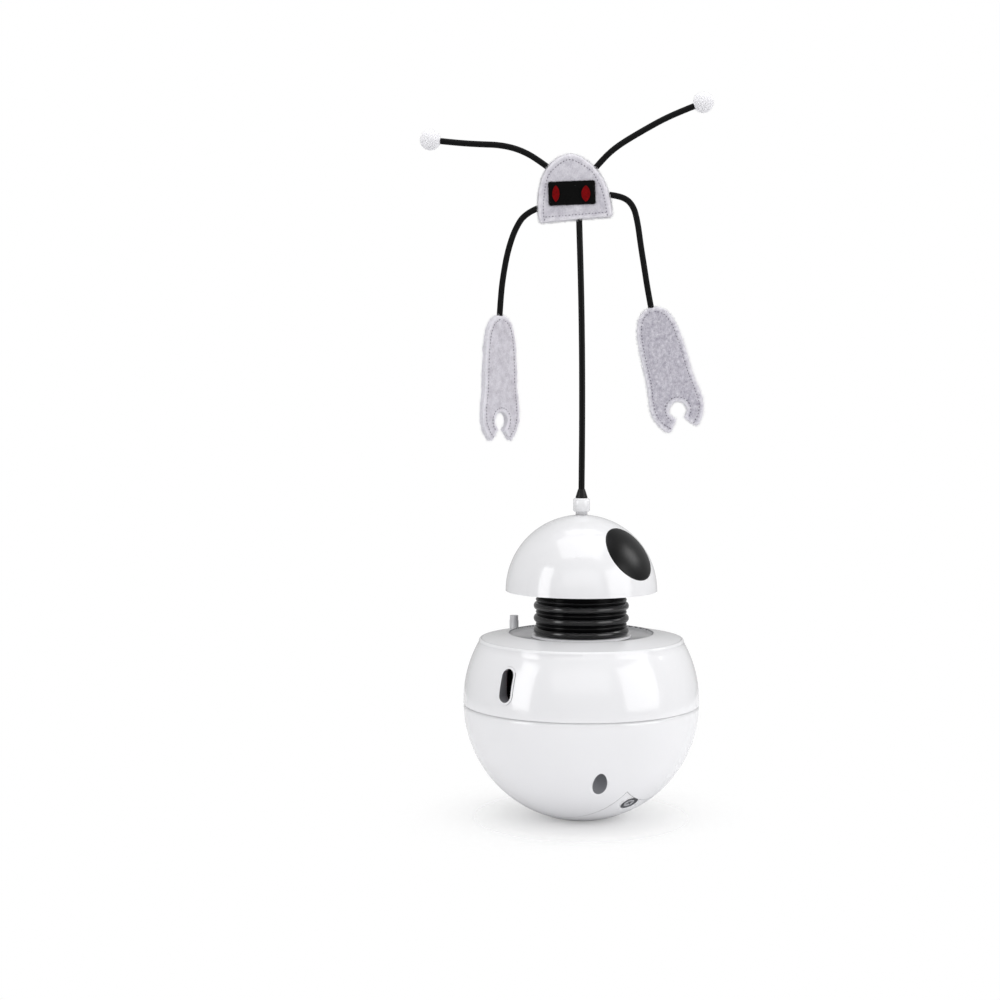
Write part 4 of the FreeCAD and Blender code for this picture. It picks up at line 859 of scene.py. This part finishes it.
@dataclass(frozen=True)
class FeltPiece:
    """A piece cut from felt, soft at its edge, uneven and hairy; sizes in mm, facing of length 1."""

    node: str
    name: str
    finish: str
    body: str
    loft: float = 0.3
    voxel: float = 0.5
    grow: float = 0.45
    facing: Point = (0.0, 1.0, 0.0)
    fuzz: int = 3000
    hair: float = 1.2
    hair_thick: float = 0.07
    rim: float = 1.5

    def build(self) -> None:
        """Build the felt piece from the CAD node's shape."""
        mesh = frame["nodes"][self.node].data.copy()
        mesh.name = self.name
        piece = new_object(self.name, mesh)
        remesh = piece.modifiers.new("even grid", "REMESH")
        remesh.mode = "VOXEL"
        remesh.voxel_size = self.voxel * MM
        soften = piece.modifiers.new("pressed edge", "SMOOTH")
        soften.iterations = 3
        soften.factor = 0.5
        done = bpy.data.meshes.new_from_object(piece.evaluated_get(bpy.context.evaluated_depsgraph_get()))
        piece.modifiers.clear()
        piece.data = done
        done.name = self.name
        self.ruffle(piece)
        self.mark_rim(piece)
        piece.data.materials.clear()
        paint(piece, self.finish)
        piece.data.shade_smooth()
        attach(piece, self.body)
        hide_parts(self.node)
        if self.fuzz:
            self.add_fuzz(piece)

    def read(self, piece: Object) -> tuple[np.ndarray, np.ndarray, np.ndarray]:
        """Read the felt's vertices.

        Args:
            piece: the felt piece.

        Returns:
            Their places, their outward directions, and which of them lie on the cut edge.
        """
        normal = vectors(piece.data.vertices, "normal")
        return vectors(piece.data.vertices, "co"), normal, np.abs(normal @ self.facing) < 0.6

    def ruffle(self, piece: Object) -> None:
        """Move the surface by fixed waves, so that the felt isn't flat.

        A point (x, y, z) in mm moves outwards by loft / 2 times (w - 1), where w is the mean of
        sin(1.9 x + 0.7 z), sin(1.3 z - 2.1 y + 1.0) and sin(2.7 x - 1.7 z + 2.0), so the faces only move
        inwards. The cut edge then grows sideways by its own amount, as teased fibres do.

        Args:
            piece: the felt piece.
        """
        place, normal, _ = self.read(piece)
        x, y, z = (place / MM).T
        wave = (np.sin(1.9 * x + 0.7 * z) + np.sin(1.3 * z - 2.1 * y + 1.0)
                + np.sin(2.7 * x - 1.7 * z + 2.0)) / 3
        across = normal - (normal @ self.facing)[:, None] * self.facing
        place = place + normal * ((wave[:, None] - 1.0) * 0.5 * self.loft * MM) + across * self.grow * MM
        piece.data.vertices.foreach_set("co", place.astype(np.float32).ravel())
        piece.data.update()

    def mark_rim(self, piece: Object) -> None:
        """Store how near each vertex is to the cut edge, from 1 on it to 0 past the rim's width.

        The share is 1.2 less the distance over the rim's width. Distances run to every third vertex of
        the edge, in blocks of 1000 vertices to spare memory.

        Args:
            piece: the felt piece.
        """
        place, _, edge = self.read(piece)
        edges = place[edge][::3]
        blocks = np.array_split(place, max(len(place) // 1000, 1))
        away = [np.linalg.norm(block[:, None, :] - edges[None], axis=2).min(axis=1) for block in blocks]
        store(piece, "rim", 1.2 - np.concatenate(away) / (self.rim * MM))

    def add_fuzz(self, piece: Object) -> None:
        """Let loose fibres stand off the cut edge, and a third as many off the faces.

        Args:
            piece: the felt piece.
        """
        place, normal, edge = self.read(piece)
        rng = np.random.default_rng(7)
        on_edge = rng.choice(np.flatnonzero(edge), self.fuzz)
        on_face = rng.choice(np.flatnonzero(~edge), self.fuzz // 3)
        pick = np.concatenate([on_edge, on_face])
        hairs(f"{self.name}_fibres", place[pick].astype(float), normal[pick].astype(float), self.hair,
              self.hair_thick, "loose white fibre" if "felt" in self.finish else self.finish, self.body,
              bend=1.0)


@dataclass(frozen=True)
class PlaneFrame:
    """A flat frame in the picture plane: its origin, the tilt from upright and the turn about its length."""

    origin: Point
    tilt_deg: float
    turn_deg: float

    def place(self, across: np.ndarray, up: np.ndarray, out: np.ndarray) -> np.ndarray:
        """Turn flat places in mm into points in metres.

        A point (a, u, o) is turned about the upright axis by the turn, then about -Y by the tilt,
        then moved to the origin.

        Args:
            across: distances across in mm.
            up: heights in mm.
            out: distances towards the viewer in mm.

        Returns:
            Array of shape (n, 3) in metres.
        """
        turn, tilt = math.radians(self.turn_deg), math.radians(self.tilt_deg)
        x = across * math.cos(turn) + out * math.sin(turn)
        y = across * math.sin(turn) - out * math.cos(turn)
        x, z = x * math.cos(tilt) - up * math.sin(tilt), x * math.sin(tilt) + up * math.cos(tilt)
        return np.stack([x, y, z], axis=-1) * MM + np.array(self.origin)


def even_steps(outline: np.ndarray, step: float) -> np.ndarray:
    """Points at an even distance along a line of points.

    Args:
        outline: array of shape (n, 2) in mm.
        step: distance between points in mm.

    Returns:
        Array of shape (m, 2).
    """
    runs = np.hypot(*np.diff(outline, axis=0).T)
    along = np.concatenate([[0.0], np.cumsum(runs)])
    count = max(int(along[-1] / step), 2)
    wanted = np.linspace(0.0, along[-1], count + 1)
    return np.stack([np.interp(wanted, along, outline[:, k]) for k in range(2)], axis=1)


def inset(outline: np.ndarray, distance: float) -> np.ndarray:
    """Move a line to the right of its own direction.

    Args:
        outline: array of shape (n, 2) in mm.
        distance: how far in mm.

    Returns:
        Array of the same shape.
    """
    ahead = unit(np.gradient(outline, axis=0))
    return outline + np.stack([ahead[:, 1], -ahead[:, 0]], axis=1) * distance


def catmull(points: Line, per_run: int = 14) -> np.ndarray:
    """Smooth line through flat points, leaving the first and last as they are.

    Between b and c, with a before and d after them, a point at the share t is half of
    2 b + (c - a) t + (2 a - 5 b + 4 c - d) t^2 + (3 b - a - 3 c + d) t^3.

    Args:
        points: places in mm.
        per_run: steps between two points.

    Returns:
        Array of shape (n, 2).
    """
    base = np.array(points, float)
    base = np.vstack([2 * base[0] - base[1], base, 2 * base[-1] - base[-2]])
    t = np.linspace(0, 1, per_run, endpoint=False)[:, None]
    runs = [0.5 * (2 * b + (c - a) * t + (2 * a - 5 * b + 4 * c - d) * t ** 2
                   + (3 * b - a - 3 * c + d) * t ** 3)
            for a, b, c, d in zip(base[:-3], base[1:-2], base[2:-1], base[3:])]
    return np.vstack(runs + [base[-2][None]])


@dataclass(frozen=True)
class StitchRow:
    """A row of short sewn stitches along a line on a felt face; sizes in mm."""

    name: str
    plane: PlaneFrame
    body: str
    length: float = 0.8
    gap: float = 0.6
    wide: float = 0.2
    sink: float = 0.14
    rings: int = 7
    sides: int = 8

    def build(self, line: np.ndarray, out: float) -> None:
        """Lay the stitches as short bars of rings, thinner and lower towards their ends.

        At the share s from -1 to 1 of its length, a bar has the radius wide sqrt(1 - s^4) and its middle
        stands 0.45 wide (1 - s^2) above the sunk line.

        Args:
            line: points of the row in the plane.
            out: how far the felt's face is from the plane, towards the viewer.
        """
        places = even_steps(line, self.length + self.gap)
        middle = ((places[1:] + places[:-1]) / 2)[:, None, None, :]
        ahead = unit(places[1:] - places[:-1])
        side = np.stack([-ahead[:, 1], ahead[:, 0]], axis=1)[:, None, None, :]
        angle = np.linspace(0, 2 * np.pi, self.sides, endpoint=False)[None, None, :]
        share = np.linspace(-1, 1, self.rings)[None, :, None]
        girth = np.sqrt(np.clip(1 - share ** 4, 0.05, 1)) * self.wide
        arch = self.wide * 0.9 * (1 - share ** 2)
        count, per = len(middle), self.rings * self.sides
        flat = (middle + ahead[:, None, None, :] * (share * self.length / 2)[..., None]
                + side * (np.cos(angle) * girth)[..., None])
        lift = np.broadcast_to(out - self.sink + arch * 0.5 + np.sin(angle) * girth, flat.shape[:3])
        points = self.plane.place(flat[..., 0].ravel(), flat[..., 1].ravel(), lift.ravel())
        col = np.arange(self.sides)[None, None, :]
        near = (np.arange(count) * per)[:, None, None] + (np.arange(self.rings - 1) * self.sides)[:, None]
        after = near + (col + 1) % self.sides
        faces = np.stack([near + col, after, after + self.sides, near + self.sides + col], axis=-1)
        ends = [list(range(k * per + first, k * per + first + self.sides))
                for first in (0, per - self.sides) for k in range(count)]
        mesh = bpy.data.meshes.new(self.name)
        mesh.from_pydata(points.tolist(), [], faces.reshape(-1, 4).tolist() + ends)
        piece = finish_mesh(self.name, mesh, merge=1e-8)
        paint(piece, "grey stitching thread")
        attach(piece, self.body)


@dataclass(frozen=True)
class PomBall:
    """Wool ball wound from yarn and cropped: a round core ruffled by tufts, with fibres; sizes in mm."""

    node: str
    name: str
    body: str
    radius: float = 4.6
    tuft: float = 0.2
    rows: int = 90
    pole: float = 0.02
    fibres: int = 1100
    fibre_thick: float = 0.045

    def build(self) -> None:
        """Build the ball.

        The radius at polar angle t and plan angle p is radius - tuft + tuft sin(t) (sin(17 p + 5 cos 9 t)
        sin(15 t) + sin(23 p - 7 t)) / 2, so that it never grows past the CAD ball.
        """
        low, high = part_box(self.node)
        centre = (np.array(low) + np.array(high)) / 2
        t = np.linspace(self.pole, np.pi - self.pole, self.rows)[:, None]
        p = np.linspace(0, 2 * np.pi, self.rows * 2, endpoint=False)[None, :]
        waves = (np.sin(17 * p + 5 * np.cos(9 * t)) * np.sin(15 * t) + np.sin(23 * p - 7 * t)) / 2
        r = (self.radius - self.tuft + self.tuft * waves * np.sin(t)) * MM
        points = np.stack([centre[0] + r * np.sin(t) * np.cos(p), centre[1] + r * np.sin(t) * np.sin(p),
                           centre[2] + r * np.cos(t) * np.ones_like(p)], axis=-1)
        piece = grid_mesh(self.name, points)
        paint(piece, "white wool pom")
        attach(piece, self.body)
        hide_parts(self.node)
        way = unit(np.random.default_rng(3).normal(0, 1, (self.fibres, 3)))
        feet = centre + way * (self.radius - 2 * self.tuft) * MM
        hairs(f"{self.name}_fibres", feet, way, 3.0 * self.tuft + 0.5, self.fibre_thick,
              "loose white fibre", self.body, bend=0.7)


def hairs(name: str, roots: np.ndarray, out: np.ndarray, length: float, thick: float, finish: str,
          body: str, bend: float) -> None:
    """Make loose fibres that stand off a felt edge or a wool ball, all as one object.

    Each is a three sided spike that leans to a random side. A corner of its foot or of its thinner middle
    is a place across and along the lean, in half widths.

    Args:
        name: the object's name.
        roots: array of shape (n, 3) with the fibres' feet in metres.
        out: array of shape (n, 3) with their directions.
        length: longest fibre in mm.
        thick: width at the foot in mm.
        finish: name of the finish.
        body: body that they ride on.
        bend: how much a fibre leans to its side.
    """
    foot_corners = ((1.0, 0.0), (-0.5, 1.0), (-0.5, -1.0))
    middle_corners = ((0.7, 0.0), (-0.4, 0.6), (-0.4, -0.6))
    tris = np.array([[0, 2, 1], [0, 1, 4], [0, 4, 3], [1, 2, 5], [1, 5, 4], [2, 0, 3], [2, 3, 5],
                     [3, 4, 6], [4, 5, 6], [5, 3, 6]])
    rng = np.random.default_rng(len(roots))
    count = len(roots)
    out = unit(out)
    lean = rng.normal(0, 1, (count, 3))
    lean = unit(lean - (lean * out).sum(1, keepdims=True) * out)
    across = np.cross(out, lean)
    size = length * MM * rng.uniform(0.35, 1.0, (count, 1))
    half = thick * MM / 2
    ring = [roots - out * half + (across * a + lean * b) * half for a, b in foot_corners]
    ring += [roots + out * size * 0.55 + lean * size * bend * 0.3 + (across * a + lean * b) * half
             for a, b in middle_corners]
    ring += [roots + out * size * 0.9 + lean * size * bend * 0.9]
    base = (np.arange(count) * len(ring))[:, None, None]
    mesh = bpy.data.meshes.new(name)
    mesh.from_pydata(np.stack(ring, axis=1).reshape(-1, 3).tolist(), [],
                     (base + tris[None]).reshape(-1, 3).tolist())
    mesh.shade_smooth()
    piece = new_object(name, mesh)
    paint(piece, finish)
    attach(piece, body)


@dataclass(frozen=True)
class ClawShape:
    """Felt claw: the same half widths and notch as the part's source, with its stitch rows; sizes in mm."""

    node: str
    name: str
    body: str
    top: Point
    tilt: float
    turn: float
    finish: str
    side: Line = (
        (0.0, 1.5), (2.5, 5.6), (7.0, 8.0), (14.0, 9.3), (24.0, 9.9), (33.0, 10.3), (40.0, 11.3),
        (46.0, 11.4), (51.0, 9.6), (55.0, 6.2))
    seam: float = 1.7
    notch_down: float = 46.3
    notch_seam_r: float = 5.7
    notch_arc: Pair = (-48.0, 228.0)
    sewn_at: float = 1.4

    def build(self) -> None:
        """Build the claw's felt, its stitches down both sides and round the notch."""
        turn = math.radians(self.turn)
        FeltPiece(self.node, self.name, self.finish, self.body,
                  facing=(-math.sin(turn), math.cos(turn), 0.0)).build()
        down = inset(catmull(tuple((wide, -along) for along, wide in self.side)), self.seam)
        angle = np.radians(np.linspace(*self.notch_arc, 40))
        notch = np.stack([np.cos(angle), np.sin(angle)], axis=1) * self.notch_seam_r - [0, self.notch_down]
        plane = PlaneFrame(self.top, self.tilt, self.turn)
        for where, line in (("right", down), ("left", down * [-1, 1]), ("notch", notch)):
            StitchRow(f"{self.name}_{where}_stitches", plane, self.body).build(line, self.sewn_at)


@dataclass(frozen=True)
class Robot:
    """The felt robot on the wand: head, eye band, red eyes, wool balls, claws and cords; sizes in mm."""

    outline: Line = (
        (-18.6, 264.6), (-19.1, 271.5), (-17.8, 282.1), (-14.6, 288.4), (-6.0, 293.6), (3.4, 289.5),
        (7.7, 284.6), (11.0, 277.1), (13.0, 267.2))
    seam: float = 2.0
    foot_slant: float = 0.6
    sewn_at: float = 2.3
    felts: tuple[FeltPiece, ...] = (
        FeltPiece("felt_head_front", "robot_head_front_felt", "pale wool felt", "robot"),
        FeltPiece("felt_head_back", "robot_head_back_felt", "pale wool felt", "robot"),
        FeltPiece("eye_band", "robot_eye_band", "black satin stitch", "robot", loft=0.1, voxel=0.22,
                  grow=0.15, fuzz=900, hair=0.5),
        FeltPiece("red_eyes", "robot_red_eyes", "red satin stitch", "robot", loft=0.08, voxel=0.16,
                  grow=0.05, fuzz=0),
    )
    limbs: tuple[PomBall | ClawShape | CordRoute, ...] = (
        PomBall("pom_left", "left_pom", "robot"),
        PomBall("pom_right", "right_pom", "robot"),
        ClawShape("claw_left", "left_claw_felt", "arm_left", (-0.0364, 0, 0.2236), tilt=0.0, turn=49.0,
                  finish="brushed wool felt"),
        ClawShape("claw_right", "right_claw_felt", "arm_right", (0.0304, 0, 0.2268), tilt=15.0, turn=0.0,
                  finish="grey wool felt"),
        CordRoute("left_arm_cord", "arm_cord_left", "arm_left", 0.0528, "limp", "hanging",
                  "left_claw_felt", (
            (-0.0195, 0.2707), (-0.0252, 0.2684), (-0.0296, 0.2616), (-0.0327, 0.2524), (-0.0346, 0.2426),
            (-0.0358, 0.2334), (-0.0364, 0.2236))),
        CordRoute("right_arm_cord", "arm_cord_right", "arm_right", 0.0574, "limp", "hanging",
                  "right_claw_felt", (
            (0.0118, 0.2764), (0.0179, 0.2757), (0.0225, 0.2715), (0.0244, 0.2638), (0.0257, 0.2542),
            (0.0273, 0.2446), (0.0287, 0.2356), (0.0304, 0.2268))),
        CordRoute("left_antenna_cord", "antenna_left", "robot", 0.0497, "stiff", "loose", "left_pom", (
            (-0.0153, 0.2886), (-0.0194, 0.2916), (-0.0242, 0.2946), (-0.03, 0.297), (-0.037, 0.2984),
            (-0.0451, 0.2987), (-0.0543, 0.2993), (-0.0625, 0.3002))),
        CordRoute("right_antenna_cord", "antenna_right", "robot", 0.0511, "stiff", "loose", "right_pom", (
            (0.0056, 0.288), (0.0086, 0.2914), (0.0124, 0.2952), (0.0174, 0.2989), (0.0252, 0.3035),
            (0.0344, 0.3086), (0.0417, 0.3119), (0.0486, 0.3146))),
    )

    def build(self) -> None:
        """Build every piece of the robot."""
        for felt in self.felts:
            felt.build()
        self.sew_head()
        for limb in self.limbs:
            limb.build()

    def sew_head(self) -> None:
        """Sew the dark dashed line all round the head, front and back."""
        arch = inset(catmull(self.outline), self.seam)
        (left, left_z), (right, right_z) = self.outline[0], self.outline[-1]
        foot = np.array([[left + self.seam, left_z + self.seam],
                         [right - self.seam, right_z + self.seam - self.foot_slant]])
        for side, turn, mirror in (("front", 0.0, 1), ("back", 180.0, -1)):
            plane = PlaneFrame((0, 0, 0), 0.0, turn)
            for part, line in (("arch", arch), ("foot", foot)):
                row = StitchRow(f"robot_head_{side}_{part}_stitches", plane, "robot")
                row.build(line * [mirror, 1], self.sewn_at)


@dataclass(frozen=True)
class SoftBox:
    """A lamp behind white cloth: its place, its target and its size in metres, and its power in watts."""

    name: str
    place: Point
    target: Point
    size: Pair
    power: float

    def build(self) -> None:
        """Hang the soft box."""
        data = bpy.data.lights.new(self.name, "AREA")
        data.shape = "RECTANGLE"
        data.size, data.size_y = self.size
        data.energy = self.power
        lamp = new_object(self.name, data)
        lamp.location = self.place
        aim = Vector(self.target) - Vector(self.place)
        lamp.rotation_euler = aim.to_track_quat("-Z", "Y").to_euler()


@dataclass(frozen=True)
class Studio:
    """White floor, a soft box to each side, in front and overhead, and the camera of the photo."""

    lens_mm: float = 65.0
    sensor_mm: float = 36.0
    eye: Point = (0.0, -0.801, 0.1913)
    yaw_deg: float = 2.59
    pitch_deg: float = -3.52
    room_light: Pair = (0.34, 0.46)
    room_turn: Pair = (-0.5, 0.6)
    floor_r: float = 0.42
    fade: Pair = (-0.03, 0.088)
    lights: tuple[SoftBox, ...] = (
        SoftBox("overhead_soft_box", (0.0, -0.1, 0.95), (0.0, 0.0, 0.1), (0.9, 0.9), 4.7),
        SoftBox("front_soft_box", (0.0, -1.15, 0.62), (0.0, 0.0, 0.1), (1.3, 0.5), 1.7),
        SoftBox("left_strip", (-0.85, -0.53, 0.34), (0.0, 0.0, 0.12), (0.34, 0.75), 2.8),
        SoftBox("right_strip", (0.87, -0.48, 0.34), (0.0, 0.0, 0.12), (0.7, 0.75), 3.8),
        SoftBox("right_rear_soft_box", (0.9, 0.3, 0.7), (0.0, 0.0, 0.14), (0.35, 0.35), 1.7),
    )

    def build(self) -> None:
        """Build the studio."""
        self.make_floor()
        for light in self.lights:
            light.build()
        self.make_world()
        self.make_camera()
        bpy.context.scene.view_settings.view_transform = "Standard"

    def make_floor(self) -> None:
        """Lay a plain white floor that keeps the contact shadow and fades out into the white backdrop."""
        bpy.ops.mesh.primitive_circle_add(vertices=96, radius=self.floor_r, fill_type="NGON")
        floor = bpy.context.object
        floor.name = "studio_floor"
        material, tree, surface = new_material(
            "painted studio floor", Base_Color=linear(Shade.FLOOR), Roughness=0.9)
        place = add_node(tree, "TexCoord")
        reach = add_node(tree, "VectorMath", {0: place.outputs["Object"]}, operation="LENGTH")
        fade = add_node(tree, "MapRange", {
            "Value": reach.outputs["Value"], "From Min": self.fade[0], "From Max": self.fade[1]},
            interpolation_type="SMOOTHSTEP")
        ray = add_node(tree, "LightPath")
        seen = add_node(tree, "Math", {
            0: fade.outputs["Result"], 1: ray.outputs["Is Camera Ray"]}, operation="MULTIPLY")
        clear = add_node(tree, "BsdfTransparent")
        mix = add_node(tree, "MixShader", {0: seen.outputs[0], 1: surface.outputs[0], 2: clear.outputs[0]})
        tree.links.new(mix.outputs[0], tree.nodes["Material Output"].inputs["Surface"])
        floor.data.materials.append(material)

    def make_world(self) -> None:
        """Light the room, dim in front and brighter behind; the backdrop itself shows white."""
        world = bpy.data.worlds.new("white room")
        bpy.context.scene.world = world
        world.use_nodes = True
        tree = world.node_tree
        tree.nodes.clear()
        way = add_node(tree, "TexCoord")
        split = add_node(tree, "SeparateXYZ", {"Vector": way.outputs["Object"]})
        level = add_node(tree, "MapRange", {
            "Value": split.outputs["Y"], "From Min": self.room_turn[0], "From Max": self.room_turn[1],
            "To Min": self.room_light[0], "To Max": self.room_light[1]}, interpolation_type="SMOOTHSTEP")
        room, white = [add_node(tree, "Background", {"Color": linear(Shade.WHITE), "Strength": strength})
                       for strength in (level.outputs["Result"], 1.0)]
        ray = add_node(tree, "LightPath")
        mix = add_node(tree, "MixShader", {
            0: ray.outputs["Is Camera Ray"], 1: room.outputs[0], 2: white.outputs[0]})
        add_node(tree, "OutputWorld", {"Surface": mix.outputs[0]})

    def make_camera(self) -> None:
        """Set the camera level with the toy's middle, as in the photo."""
        data = bpy.data.cameras.new("camera")
        data.lens = self.lens_mm
        data.sensor_width = self.sensor_mm
        data.clip_start = 0.01
        camera = new_object("camera", data)
        camera.location = self.eye
        camera.rotation_euler = (math.radians(90 + self.pitch_deg), 0.0, math.radians(self.yaw_deg))
        bpy.context.scene.camera = camera


def main() -> None:
    """Build the toy and its studio."""
    logging.basicConfig(level=logging.INFO)
    Workings().build()
    Body().build()
    Head().build()
    Robot().build()
    Studio().build()
    LOG.info("%d finishes made", len(FINISHES.made))


if __name__ == "__main__":
    main()
